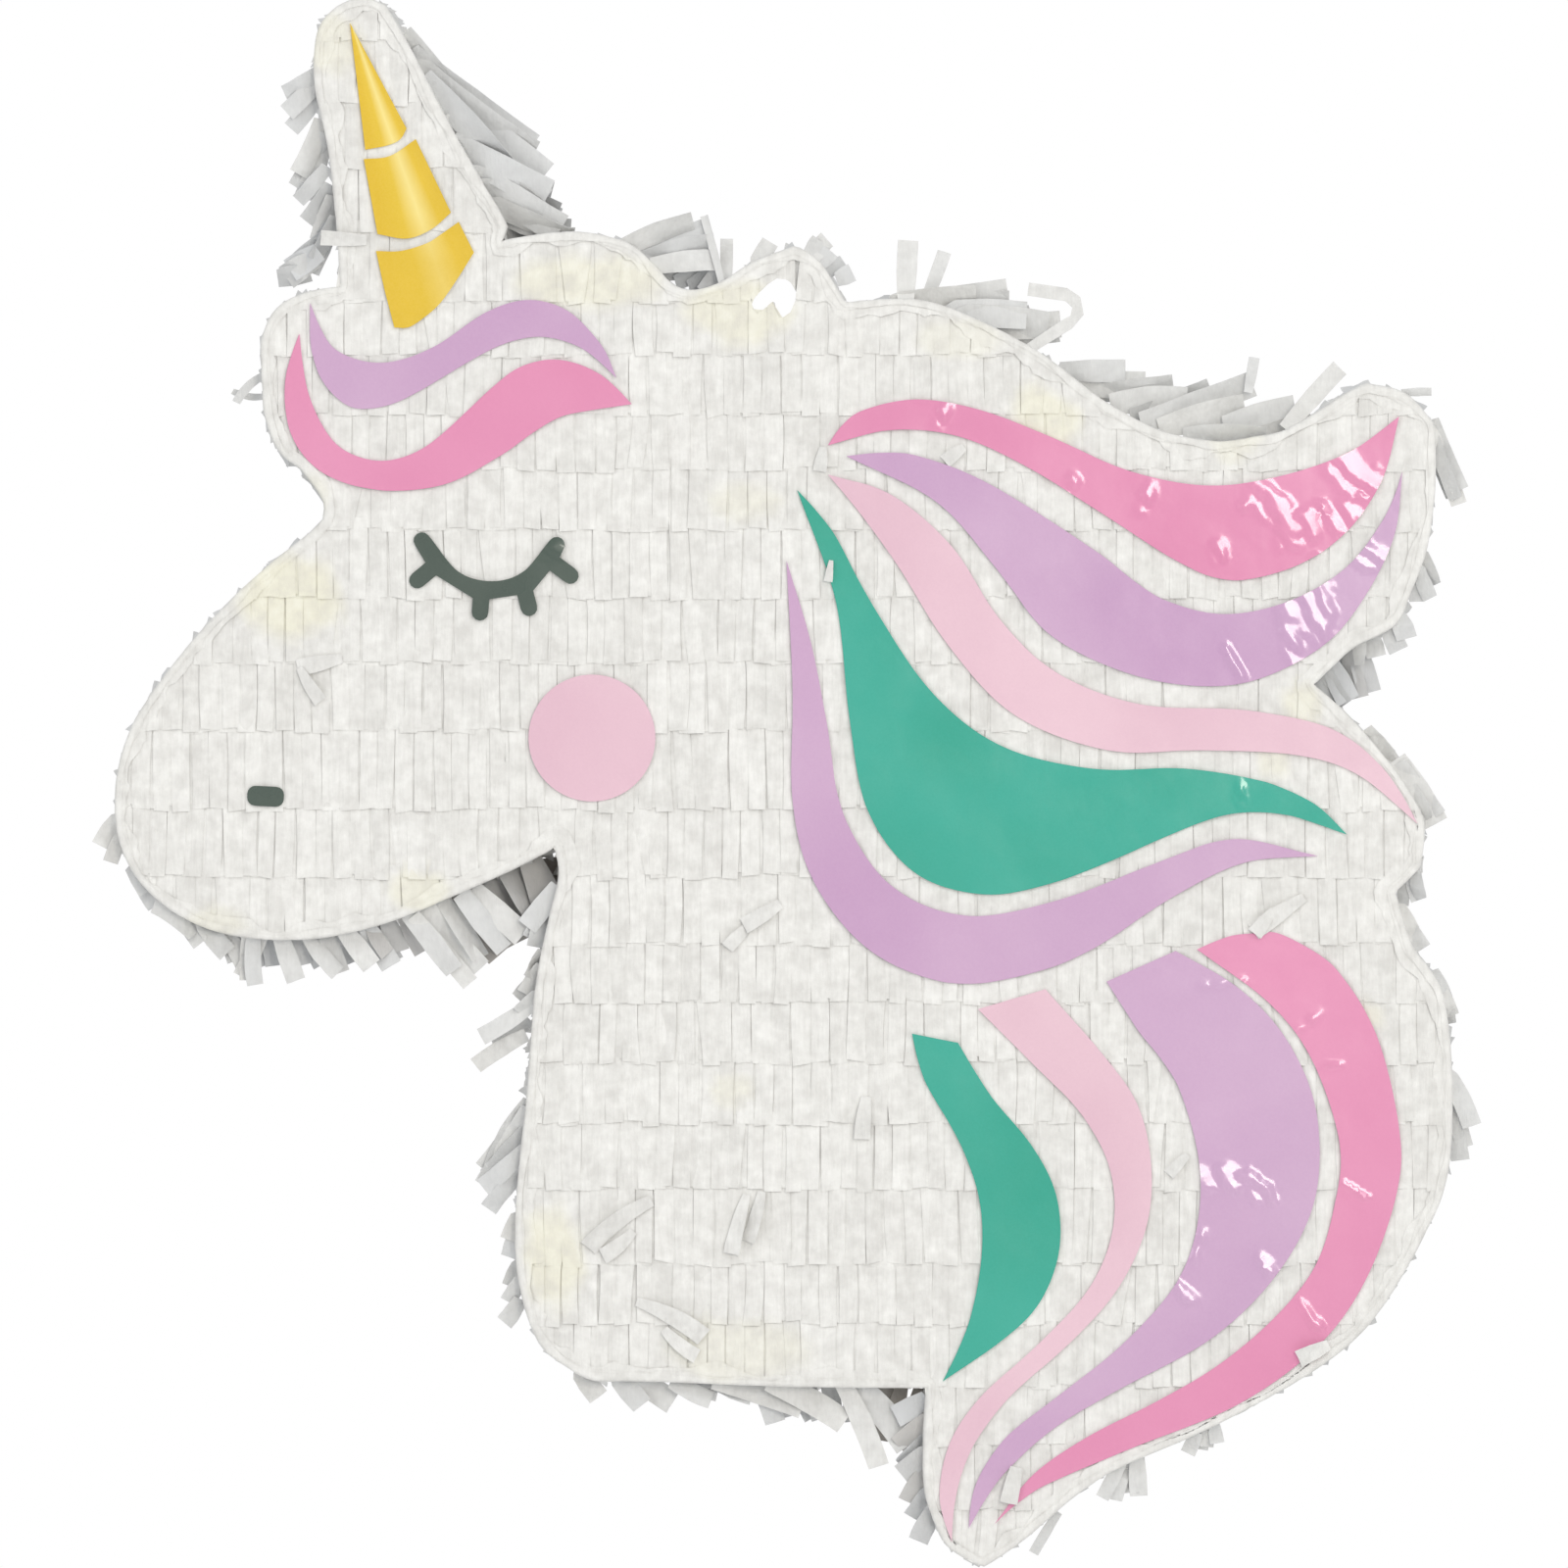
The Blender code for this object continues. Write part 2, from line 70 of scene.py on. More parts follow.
# Tissue strips. Scraps narrower or shorter than the least sizes are left out, and the flap has
# each row that lies at least FLAP_ROW of its height on it.
STRIP_WIDTH = 6.1
LEAST_WIDTH, LEAST_LENGTH = 0.4, 0.7
STRIP_GAP = (0.12, 0.38)
ROW_OVERLAP = 4.0
FLAP_ROW = 3.0
TISSUE_THICKNESS = 0.09
BACKING_HEIGHT = 0.12
UPPER_LAYER, UNDER_LAYER = 0.60, 0.34
TIP_RISE = 0.35
HIGHEST_TISSUE = 2.6
HIGHEST_UNDER_STICKER = 1.38

# Stickers. A pleat falls over PLEAT_CREST of its pitch and rises over the rest.
STICKER_HEIGHT = 1.90
STICKER_THICKNESS = 0.3
STICKER_GRID = 1.35
STICKER_CREASE = math.radians(40)
PLEAT_PITCH = 7.5
PLEAT_CREST = 0.86

# Strips on the wall hang back from rows that run round the outline, each starting at one y. They
# stand off the wall by WALL_CLEARANCE or more, with their tips WALL_REACH out, and end by WALL_END.
# WALL_SKIN is the height of the tissue under them, NEAR_WALL how far round a point the wall is
# looked for, and FOLD_STEP the distance between the points of the folds along the edges.
WALL_ROWS = (-43.6, -22.0, -1.0, 20.0)
WALL_STRIP = (22.0, 27.0)
WALL_REACH = (0.3, 2.6)
WALL_SKIN = 0.45
WALL_CLEARANCE = 0.9
WALL_END = 45.4
NEAR_WALL = 14.0
FOLD_STEP = 2.2


def smooth_noise(x, z, wide, high, seed):
    """Noise between -1 and 1, in patches about wide by high across."""
    return noise.noise(Vector((x / wide, z / high, seed)))


def new_object(name, data):
    made = bpy.data.objects.new(name, data)
    bpy.context.collection.objects.link(made)
    return made


def new_mesh(name, points, faces, material, **attributes):
    """A smooth mesh from points in millimetres, with an attribute's value at each point."""
    mesh = bpy.data.meshes.new(name)
    mesh.from_pydata([[c * MM for c in p] for p in points], [], faces)
    for key, values in attributes.items():
        mesh.attributes.new(key, "FLOAT", "POINT").data.foreach_set("value", values)
    mesh.materials.append(material)
    mesh.shade_smooth()
    return mesh


# Outlines

def face_rings(node, level):
    """The closed rings round the node's triangles in the plane y = level, the longest first."""
    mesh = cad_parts[node].data
    edges = set()
    for face in mesh.polygons:
        corners = [mesh.vertices[i].co / MM for i in face.vertices]
        if any(abs(c.y - level) > LEVEL_MARGIN for c in corners):
            continue
        keys = [(round(c.x, 2), round(c.z, 2)) for c in corners]
        for a, b in zip(keys, keys[1:] + keys[:1]):
            if (b, a) in edges:
                edges.remove((b, a))
            else:
                edges.add((a, b))
    after = dict(edges)
    rings = []
    while after:
        start, here = next(iter(sorted(after.items())))
        del after[start]
        ring = [start]
        while here != start:
            ring.append(here)
            here = after.pop(here)
        rings.append([Vector(p) for p in ring])
    return sorted(rings, key=lambda r: -sum((a - b).length for a, b in zip(r, r[1:] + r[:1])))


def curve_point(before, start, end, after, t):
    """A point on the Catmull-Rom curve from start to end."""
    return 0.5 * (
        2 * start + (end - before) * t
        + (2 * before - 5 * start + 4 * end - after) * t * t
        + (3 * start - before - 3 * end + after) * t * t * t
    )


def smoothed(ring, step):
    """The ring as smooth curves through its points, with its sharp corners kept."""
    count = len(ring)
    ahead = [ring[(i + 1) % count] - ring[i] for i in range(count)]
    sharp = [ahead[i - 1].angle(ahead[i], 0.0) > SHARP for i in range(count)]
    points = []
    for i in range(count):
        start, end = ring[i], ring[(i + 1) % count]
        before = 2 * start - end if sharp[i] else ring[i - 1]
        after = 2 * end - start if sharp[(i + 1) % count] else ring[(i + 2) % count]
        pieces = max(1, round((end - start).length / step))
        points += [curve_point(before, start, end, after, k / pieces) for k in range(pieces)]
    return points


class Region:
    """The inside of some rings: a ring within another is a hole."""

    def __init__(self, *rings):
        starts = [p for ring in rings for p in ring]
        ends = [p for ring in rings for p in ring[1:] + ring[:1]]
        self.a = np.array([tuple(p) for p in starts])
        self.b = np.array([tuple(p) for p in ends])

    def spans(self, x):
        """Where the vertical line at x lies inside, as (low, high) pairs, lowest first."""
        crossed = (self.a[:, 0] > x) != (self.b[:, 0] > x)
        a, b = self.a[crossed], self.b[crossed]
        heights = np.sort(a[:, 1] + (x - a[:, 0]) * (b[:, 1] - a[:, 1]) / (b[:, 0] - a[:, 0]))
        return list(zip(heights[::2], heights[1::2]))

    def holds(self, x, z):
        return any(low < z < high for low, high in self.spans(x))

    def edge_distance(self, x, z):
        """How far the point is from the nearest edge of the rings."""
        p = np.array((x, z))
        along = self.b - self.a
        t = np.clip(((p - self.a) * along).sum(1) / np.maximum((along ** 2).sum(1), 1e-9), 0, 1)
        return float(np.sqrt(((self.a + along * t[:, None] - p) ** 2).sum(1).min()))


def front_ring(node):
    """The outer ring of a node's front face."""
    return face_rings(node, round(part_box(node)[0].y / MM, 2))[0]


def filled(rings, inner=()):
    """The points and triangles that fill some rings, by way of inner points."""
    points, edges = [], []
    for ring in rings:
        first, count = len(points), len(ring)
        edges += [(first + i, first + (i + 1) % count) for i in range(count)]
        points += ring
    flat, _, faces, *_ = delaunay_2d_cdt([*points, *inner], edges, [], 1, 0.001)
    return flat, faces


def extent(points):
    """The lowest and the highest corner of the points' box."""
    return tuple((end(p.x for p in points), end(p.y for p in points)) for end in (min, max))


def row_edge(node):
    """The height of a front row's lower edge: the lower of its two longest edges, which are level."""
    ring = front_ring(node)
    edges = sorted(zip(ring, ring[1:] + ring[:1]), key=lambda e: -abs(e[0].x - e[1].x))
    return min((a.y + b.y) / 2 for a, b in edges[:2])


# Tissue

# Cream glue stains on the front, as (x, z), the two radii, and how strong.
STAINS = [
    ((-62, 4), 25, 9, 0.8), ((-158, -99), 17, 14, 1.0), ((-12, -6), 17, 11, 0.8),
    ((88, -42), 12, 12, 0.9), ((-10, -68), 12, 6, 0.5), ((172, -134), 7, 7, 0.7),
    ((163, -153), 6, 5, 0.6), ((-116, -195), 10, 7, 0.7), ((-182, -205), 11, 5, 0.5),
    ((-72, -315), 10, 17, 0.9), ((-12, -345), 24, 10, 0.45), ((-14, -260), 7, 6, 0.5),
    ((190, -236), 10, 5, 0.6), ((-144, 82), 10, 10, 0.6), ((150, -47), 9, 8, 0.5),
    ((60, -15), 14, 7, 0.4), ((-152, -66), 7, 7, 0.4),
]


def stain_at(x, z):
    """How strongly glue stains the front at a point, from 0 to 1."""
    total = 0.0
    for (cx, cz), rx, rz, strength in STAINS:
        wobble = 0.25 * smooth_noise(x, z, 9, 9, cx)
        reach = math.hypot((x - cx) / rx, (z - cz) / rz) + wobble
        total = max(total, strength * min(1.0, max(0.0, (1.15 - reach) / 0.4)))
    return total


class Sheet:
    """The points and faces of one piece of cut tissue.

    Each point has a tone, a stain and a painted shade that stands in for shadow: 0 is white paper,
    1 is the grey of tissue in shade and 2 is the brown of a deep shaded recess.
    """

    def __init__(self):
        self.points, self.faces, self.tones, self.stains, self.painted_shades = [], [], [], [], []

    # shade is the painted shade of the added points.
    def add_points(self, points, tone, stained=False, shade=0.0):
        self.points += points
        self.tones += [tone] * len(points)
        self.painted_shades += [shade] * len(points)
        self.stains += [stain_at(p[0], p[2]) if stained else 0.0 for p in points]

    def grid(self, columns, tone, **looks):
        """Adds a strip, given as columns of points (x, y, z) from top to tip."""
        first, length = len(self.points), len(columns[0])
        self.add_points([p for column in columns for p in column], tone, **looks)
        for i in range(len(columns) - 1):
            for j in range(length - 1):
                a = first + i * length + j
                self.faces.append((a, a + 1, a + length + 1, a + length))


def strip_groups(region, left, right, top, tip, columns, rank):
    """Splits a strip's width into groups of neighbouring columns that lie in the region.

    A column is (x, low, high). tip(x) is the strip's lower end there. Where the region's edge cuts
    a column in two, rank 0 is the lower part and rank 1 the upper part.
    """
    def column(x):
        parts = [(max(low, tip(x)), min(high, top)) for low, high in region.spans(x)]
        parts = [(low, high) for low, high in parts if high - low > LEAST_LENGTH]
        return (x, *parts[rank]) if len(parts) > rank else None

    def edge_between(inside, outside):
        for _ in range(7):
            middle = (inside[0] + outside) / 2
            found = column(middle)
            if found:
                inside = found
            else:
                outside = middle
        return inside

    xs = [left + (right - left) * i / (columns - 1) for i in range(columns)]
    found = [column(x) for x in xs]
    groups = [[]]
    for i, here in enumerate(found):
        current = groups[-1]
        if here:
            if not current and i and not found[i - 1]:
                current.append(edge_between(here, xs[i - 1]))
            if current and (here[1] >= current[-1][2] or here[2] <= current[-1][1]):
                groups.append([])
            groups[-1].append(here)
        elif current:
            current.append(edge_between(current[-1], xs[i]))
            groups.append([])
    return [g for g in groups if len(g) > 1 and g[-1][0] - g[0][0] > LEAST_WIDTH]


class Face:
    """One side of the pinata: its card plane, which way is out, and what lies over the tissue."""

    def __init__(self, card, out, region, covers=None):
        self.card, self.out, self.region, self.covers = card, out, region, covers

    def point(self, x, z, height):
        covered = self.covers and self.covers.covered(x, z)
        limit = HIGHEST_UNDER_STICKER if covered else HIGHEST_TISSUE
        return (x, self.card + self.out * min(height, limit), z)


class Covers:
    """A map of where stickers lie, one cell per millimetre, grown by a margin."""

    BORDER = 5
    MARGIN = 2

    def __init__(self, region, low, high):
        self.low = [math.floor(v) - self.BORDER for v in low]
        size = [math.ceil(v) + self.BORDER + 1 - start for v, start in zip(high, self.low)]
        cells = np.zeros(size, bool)
        for i in range(size[0]):
            for bottom, top in region.spans(self.low[0] + i + 0.01):
                cells[i, int(bottom - self.low[1]):int(top - self.low[1]) + 2] = True
        reach = range(-self.MARGIN, self.MARGIN + 1)
        self.cells = np.any([np.roll(cells, (dx, dz), (0, 1)) for dx in reach for dz in reach], 0)

    def covered(self, x, z):
        i, j = round(x - self.low[0]), round(z - self.low[1])
        inside = 0 <= i < self.cells.shape[0] and 0 <= j < self.cells.shape[1]
        return inside and bool(self.cells[i, j])


def lay_strip(sheet, face, left, right, top, bottom, base, fine):
    """One strip hanging on a face, from its root at top to its tip near bottom."""
    tone = RANDOM.uniform(-1, 1)
    middle = (left + right) / 2
    sway = 2.6 * smooth_noise(middle, top, 26, 9, 1.3)
    # About one strip in twelve hangs askew.
    lean = math.radians(sway + RANDOM.gauss(0, 0.8 if RANDOM.random() > 0.08 else 4.5)) * fine
    bow = RANDOM.gauss(0, 0.3) * fine
    cut = RANDOM.uniform(-0.8, 0.7) + 0.9 * smooth_noise(middle, top, 14, 1, 6.1)
    slant = RANDOM.gauss(0, 0.07)
    puff = RANDOM.uniform(0.0, 0.2)
    curl = abs(RANDOM.gauss(0, 0.25))
    cup = RANDOM.uniform(-0.12, 0.26)
    roll = RANDOM.gauss(0, 0.13) * fine
    taper = RANDOM.uniform(0.015, 0.075) * fine
    seed = RANDOM.uniform(0, 100)
    count = 5 if fine else 3
    groups = []
    for rank in (0, 1):
        groups += strip_groups(
            face.region, left, right, top, lambda x: bottom + cut + slant * (x - middle), count, rank
        )
    steps = 7 if fine else 4
    for group in groups:
        whole = len(group) == count
        columns = []
        for x, low, high in group:
            across = (x - middle) / (right - left) * 2
            column = []
            for k in range(steps + 1):
                z = high + (low - high) * k / steps
                t = (top - z) / (top - bottom)
                height = base + TIP_RISE * max(0.0, t) ** 1.4 + puff * math.sin(math.pi * min(1.0, t))
                height += curl * max(0.0, t - 0.72) * 3 + cup * (1 - across * across) + roll * across
                height += 0.14 * smooth_noise(x, z, 5, 8, seed)
                height += 0.25 * smooth_noise(x, z, 20, 24, 4.4)
                shift = (top - z) * math.tan(lean) + bow * math.sin(math.pi * t) if whole else 0.0
                shift -= taper * t * (x - middle)
                column.append(face.point(x + shift, z, max(BACKING_HEIGHT, height)))
            columns.append(column)
        sheet.grid(columns, tone, stained=face.out < 0)


def lay_row(sheet, face, left, right, top, bottom):
    """A row of strips in two layers. The under layer's cuts fall behind the upper layer's strips."""
    for base, fine, offset in ((UNDER_LAYER, False, 0.5), (UPPER_LAYER, True, 0.0)):
        x = left - STRIP_WIDTH * (offset + RANDOM.random() * 0.4)
        end = bottom + (0.0 if fine else RANDOM.uniform(-0.4, 0.8))
        while x < right:
            width = STRIP_WIDTH * RANDOM.uniform(0.90, 1.10)
            gap = RANDOM.uniform(*STRIP_GAP) / 2 if fine else -0.15
            lay_strip(sheet, face, x + gap, x + width - gap, top, end, base, fine)
            x += width


def sharpen_rims(mesh):
    """Marks the cut edges sharp, so that flat strips are shaded flat."""
    found = np.empty(len(mesh.loops), np.int32)
    mesh.loops.foreach_get("edge_index", found)
    uses = np.bincount(found, minlength=len(mesh.edges))
    mesh.attributes.new("sharp_edge", "BOOLEAN", "EDGE").data.foreach_set("value", uses == 1)


def tissue_object(name, sheet, body, *nodes):
    """Makes a sheet into a piece of thin tissue that rides on a body and replaces some nodes."""
    # The shade attribute carries the painted shade, which the tissue material turns grey and then
    # brown.
    looks = {"tone": sheet.tones, "stain": sheet.stains, "shade": sheet.painted_shades}
    mesh = new_mesh(name, sheet.points, sheet.faces, TISSUE, **looks)
    sharpen_rims(mesh)
    piece = new_object(name, mesh)
    thick = piece.modifiers.new("thickness", "SOLIDIFY")
    thick.thickness = TISSUE_THICKNESS * MM
    thick.offset = 0
    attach(piece, body)
    if nodes:
        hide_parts(*nodes)


# Materials

def set_inputs(tree, node, inputs):
    """Sets some of a node's inputs, each to a plain value or linked to a socket."""
    for key, value in inputs.items():
        if isinstance(value, bpy.types.NodeSocket):
            tree.links.new(value, node.inputs[key])
        else:
            node.inputs[key].default_value = value


def add_node(tree, kind, inputs=None, **settings):
    made = tree.nodes.new(kind)
    for key, value in settings.items():
        setattr(made, key, value)
    set_inputs(tree, made, inputs or {})
    return made


def attribute(tree, name):
    return add_node(tree, "ShaderNodeAttribute", attribute_name=name).outputs["Fac"]


def new_material(name):
    made = bpy.data.materials.new(name)
    made.use_nodes = True
    tree = made.node_tree
    place = add_node(tree, "ShaderNodeTexCoord").outputs["Object"]
    return made, tree, tree.nodes["Principled BSDF"], place


def texture(tree, place, scale, detail=3.0, stretch=(1, 1, 1)):
    """Noise with features about 1/scale metres across, stretched along the axes."""
    mapping = add_node(tree, "ShaderNodeMapping", {"Vector": place, "Scale": stretch})
    settings = {"Vector": mapping.outputs[0], "Scale": scale, "Detail": detail}
    return add_node(tree, "ShaderNodeTexNoise", settings).outputs["Fac"]


def fit(tree, value, low, high, to_low=0.0, to_high=1.0):
    """The value with the range low to high brought to to_low to to_high, and held there."""
    ranges = {"Value": value, "From Min": low, "From Max": high, "To Min": to_low, "To Max": to_high}
    return add_node(tree, "ShaderNodeMapRange", ranges).outputs["Result"]


def mix(tree, factor, a, b):
    return add_node(tree, "ShaderNodeMix", {0: factor, 6: a, 7: b}, data_type="RGBA").outputs[2]


def math_node(tree, operation, a, b):
    return add_node(tree, "ShaderNodeMath", {0: a, 1: b}, operation=operation).outputs[0]


def bump(tree, height, strength, distance):
    settings = {"Height": height, "Strength": strength, "Distance": distance}
    return add_node(tree, "ShaderNodeBump", settings).outputs["Normal"]


def tissue_material():
    """White tissue paper: mottled, faintly fibrous, crumpled, cream where glue soaked it, greyed by
    painted shade.
    """
    made, tree, shader, place = new_material("white_tissue")
    mottle = texture(tree, place, 190, 4)
    fibres = texture(tree, place, 300, 3, (3.2, 3.2, 0.35))
    crumple = texture(tree, place, 420, 5)
    cloudy = fit(tree, mottle, 0.32, 0.68)
    streaky = fit(tree, fibres, 0.3, 0.7)
    shade = math_node(tree, "MULTIPLY", cloudy, 0.55)
    # The crumple noise that raises the bump also sets the tone: fine mottling, and painted shade
    # darkening the crumple's creases.
    painted_crease_shade = fit(tree, crumple, 0.35, 0.65, -1.0, 1.0)
    for part, share in ((streaky, 0.3), (painted_crease_shade, 0.11), (attribute(tree, "tone"), 0.14)):
        shade = math_node(tree, "ADD", shade, math_node(tree, "MULTIPLY", part, share))
    paper = mix(tree, shade, (0.69, 0.68, 0.655, 1), (0.895, 0.89, 0.865, 1))
    cream = mix(tree, cloudy, (0.76, 0.73, 0.58, 1), (0.86, 0.845, 0.72, 1))
    patchy = fit(tree, mottle, 0.25, 0.55, 0.45, 0.9)
    soaked = math_node(tree, "MULTIPLY", attribute(tree, "stain"), patchy)
    # Painted shade: the shade attribute turns the tissue grey in shadow, and brown above 1 in deep
    # recesses.
    shade = attribute(tree, "shade")
    painted_shade_grey = fit(tree, shade, 0.0, 1.0, 0.0, 0.85)
    colour = mix(tree, painted_shade_grey, mix(tree, soaked, paper, cream), (0.63, 0.645, 0.665, 1))
    colour = mix(tree, fit(tree, shade, 1.0, 2.0), colour, (0.40, 0.33, 0.25, 1))
    height = math_node(tree, "ADD", math_node(tree, "MULTIPLY", crumple, 1.1), fibres)
    set_inputs(tree, shader, {
        "Base Color": colour, "Roughness": fit(tree, fibres, 0.2, 0.8, 0.66, 0.88),
        "Specular IOR Level": 0.25, "Normal": bump(tree, height, 0.4, 0.00038),
    })
    return made


def cardboard_material():
    """Kraft card: speckled fibres on the faces, corrugations on the cut edges."""
    made, tree, shader, place = new_material("kraft_card")
    fibres = texture(tree, place, 700, 4, (1, 1, 0.25))
    clouds = texture(tree, place, 45, 3)
    face = mix(tree, fit(tree, fibres, 0.3, 0.7), (0.30, 0.185, 0.095, 1), (0.46, 0.31, 0.18, 1))
    face = mix(tree, fit(tree, clouds, 0.35, 0.65, 0.0, 0.35), face, (0.36, 0.25, 0.15, 1))
    wave = add_node(
        tree, "ShaderNodeTexWave", {"Vector": place, "Scale": 58.0, "Distortion": 1.2, "Detail": 1.0},
        wave_type="BANDS", bands_direction="DIAGONAL",
    ).outputs["Fac"]
    normal = add_node(tree, "ShaderNodeNewGeometry").outputs["Normal"]
    facing = add_node(tree, "ShaderNodeSeparateXYZ", {"Vector": normal}).outputs["Y"]
    edge = fit(tree, math_node(tree, "ABSOLUTE", facing, 0.0), 0.75, 0.55)
    flutes = math_node(tree, "MULTIPLY", edge, fit(tree, wave, 0.45, 0.7))
    colour = mix(tree, math_node(tree, "MULTIPLY", flutes, 0.6), face, (0.13, 0.075, 0.035, 1))
    height = math_node(tree, "ADD", fibres, math_node(tree, "MULTIPLY", flutes, -1.5))
    set_inputs(tree, shader, {
        "Base Color": colour, "Roughness": fit(tree, fibres, 0.2, 0.8, 0.78, 0.95),
        "Normal": bump(tree, height, 0.4, 0.0003),
    })
    return made


def sticker_material(name, dark, light, roughness=0.17):
    """Glossy vinyl in one printed colour, with a faint drift of tone and a slight ripple."""
    made, tree, shader, place = new_material(name)
    drift = texture(tree, place, 14, 2)
    grain = texture(tree, place, 1400, 2)
    shade = math_node(tree, "ADD", fit(tree, drift, 0.35, 0.65, 0.0, 0.8),
                      fit(tree, grain, 0.3, 0.7, 0.0, 0.2))
    smear = texture(tree, place, 60, 3)
    set_inputs(tree, shader, {
        "Base Color": mix(tree, shade, (*dark, 1), (*light, 1)),
        "Roughness": fit(tree, smear, 0.3, 0.7, roughness - 0.04, roughness + 0.06),
        "Specular IOR Level": 0.5, "Coat Weight": 0.35, "Coat Roughness": 0.06,
        "Normal": bump(tree, texture(tree, place, 120, 2), 0.25, 0.0004),
    })
    return made


def gold_material():
    """Printed gold with a soft light band down the middle. The band's place is stored on the mesh."""
    made, tree, shader, place = new_material("gold_foil")
    ramp = add_node(tree, "ShaderNodeValToRGB", {"Fac": attribute(tree, "across")})
    stops = ramp.color_ramp.elements
    stops[0].position, stops[0].color = 0.0, (0.72, 0.47, 0.012, 1)
    stops[1].position, stops[1].color = 1.0, (0.66, 0.43, 0.010, 1)
    for position, colour in (
        (0.26, (0.75, 0.51, 0.025, 1)), (0.46, (0.87, 0.72, 0.25, 1)), (0.66, (0.73, 0.49, 0.02, 1))
    ):
        stops.new(position).color = colour
    height = add_node(tree, "ShaderNodeSeparateXYZ", {"Vector": place}).outputs["Z"]
    faded = fit(tree, height, 0.026, 0.010, 0.0, 0.62)
    banded = mix(tree, faded, ramp.outputs["Color"], (0.71, 0.47, 0.02, 1))
    grain = fit(tree, texture(tree, place, 1700, 2), 0.3, 0.7)
    colour = mix(tree, math_node(tree, "MULTIPLY", grain, 0.08), banded, (0.93, 0.74, 0.25, 1))
    set_inputs(tree, shader, {
        "Base Color": colour, "Roughness": fit(tree, grain, 0, 1, 0.30, 0.34),
        "Metallic": 0.2, "Coat Weight": 0.4, "Coat Roughness": 0.12,
        "Normal": bump(tree, texture(tree, place, 160, 2), 0.15, 0.0003),
    })
    return made


def floor_material():
    made, tree, shader, place = new_material("pale_floor")
    clouds = texture(tree, place, 2.0, 3)
    colour = mix(tree, fit(tree, clouds, 0.3, 0.7), (0.86, 0.86, 0.86, 1), (0.90, 0.90, 0.90, 1))
    set_inputs(tree, shader, {"Base Color": colour, "Roughness": 0.8})
    return made


TISSUE = tissue_material()
CARDBOARD = cardboard_material()
VINYLS = {
    "pink": ((0.735, 0.258, 0.437), (0.785, 0.308, 0.488)),
    "lilac": ((0.560, 0.338, 0.543), (0.636, 0.422, 0.606)),
    "pale_pink": ((0.75, 0.49, 0.585), (0.83, 0.58, 0.66)),
    "teal": ((0.034, 0.370, 0.268), (0.054, 0.43, 0.335)),
    "charcoal": ((0.050, 0.075, 0.060), (0.075, 0.105, 0.085), 0.3),
}
FINISHES = {name: sticker_material(name + "_vinyl", *looks) for name, looks in VINYLS.items()}
FINISHES["gold"] = gold_material()


# The stickers

# The colour of each sticker, by the start of its node's name.
COLOURS = {
    "horn": "gold", "forelock_lilac": "lilac", "forelock_pink": "pink", "mane_pink": "pink",
    "mane_lilac": "lilac", "mane_pale": "pale_pink", "mane_teal": "teal", "cheek": "pale_pink",
    "eye": "charcoal", "nostril": "charcoal",
}

# Crumpled patches of vinyl that catch the window's light: middle (x, z), half length, half width,
# direction in degrees, and the slope of the pleats.
CRINKLES = [
    ((163, -70), 14, 5.5, -48, 0.125), ((173, -76), 13, 6, 30, 0.125), ((188, -59), 15, 7, -48, 0.12),
    ((157, -64), 8, 3, 60, 0.12), ((187, -72), 9, 5, 50, 0.12), ((195, -86), 8, 5, -15, 0.115),
    ((172, -102), 13, 7, -55, 0.125), ((168, -112), 13, 3.5, -78, 0.12),
    ((178, -100), 16, 4.5, -82, 0.12), ((150, -121), 7, 2, -65, 0.12), ((145, -84), 5, 3, 85, 0.10),
    ((147, -289), 11, 5.5, 0, 0.14), ((157, -292), 9, 4, -35, 0.14), ((55, -40), 6, 2.6, 68, 0.12),
    ((97, -62), 5, 2.6, 60, 0.12), ((121, -67), 8, 2.6, 62, 0.12), ((133, -326), 6, 2.8, -38, 0.13),
    ((160, -317), 5, 3.2, -45, 0.12), ((139, -310), 6, 1.8, 70, 0.12), ((186, -292), 9, 1.6, -22, 0.13),
    ((174, -238), 8, 1.5, 35, 0.13), ((181, -252), 5, 1.2, 10, 0.12), ((175, -334), 7, 1.6, -52, 0.13),
    ((152, -164), 5, 1.8, 90, 0.08), ((-72, -84), 5, 4, 40, 0.12), ((146, -225), 9, 1.2, 5, 0.10),
]


def crinkle_at(x, z):
    """How much higher a crumpled sticker stands at a point: pleats that fall towards the window."""
    total = 0.0
    for (cx, cz), half_length, half_width, heading, slope in CRINKLES:
        dx, dz = x - cx, z - cz
        if abs(dx) + abs(dz) > 2 * half_length:
            continue
        turn = math.radians(heading)
        along = (dx * math.cos(turn) + dz * math.sin(turn)) / half_length
        across = (dz * math.cos(turn) - dx * math.sin(turn)) / half_width
        ragged = 0.35 * smooth_noise(x, z, 5, 5, cx) + 0.12 * smooth_noise(x, z, 1.7, 1.7, cz)
        reach = math.hypot(along, across) + ragged
        if reach < 1:
            drift = 0.5 * smooth_noise(x, z, 12, 12, cz)
            phase = ((dx * 0.72 + dz * 0.69) / PLEAT_PITCH + drift + cx) % 1.0
            falling, rising = 1 - phase / PLEAT_CREST, (phase - PLEAT_CREST) / (1 - PLEAT_CREST)
            pleat = falling if phase < PLEAT_CREST else rising
            height = slope * PLEAT_CREST * PLEAT_PITCH
            total = max(total, height * min(1.0, 6 * (1 - reach)) * pleat)
    return total


def sticker_height(x, z):
    wave = 0.10 * smooth_noise(x, z, 32, 32, 3.7)
    ripple = 0.05 * smooth_noise(x, z, 11, 14, 9.1)
    return STICKER_HEIGHT + wave + ripple + crinkle_at(x, z)


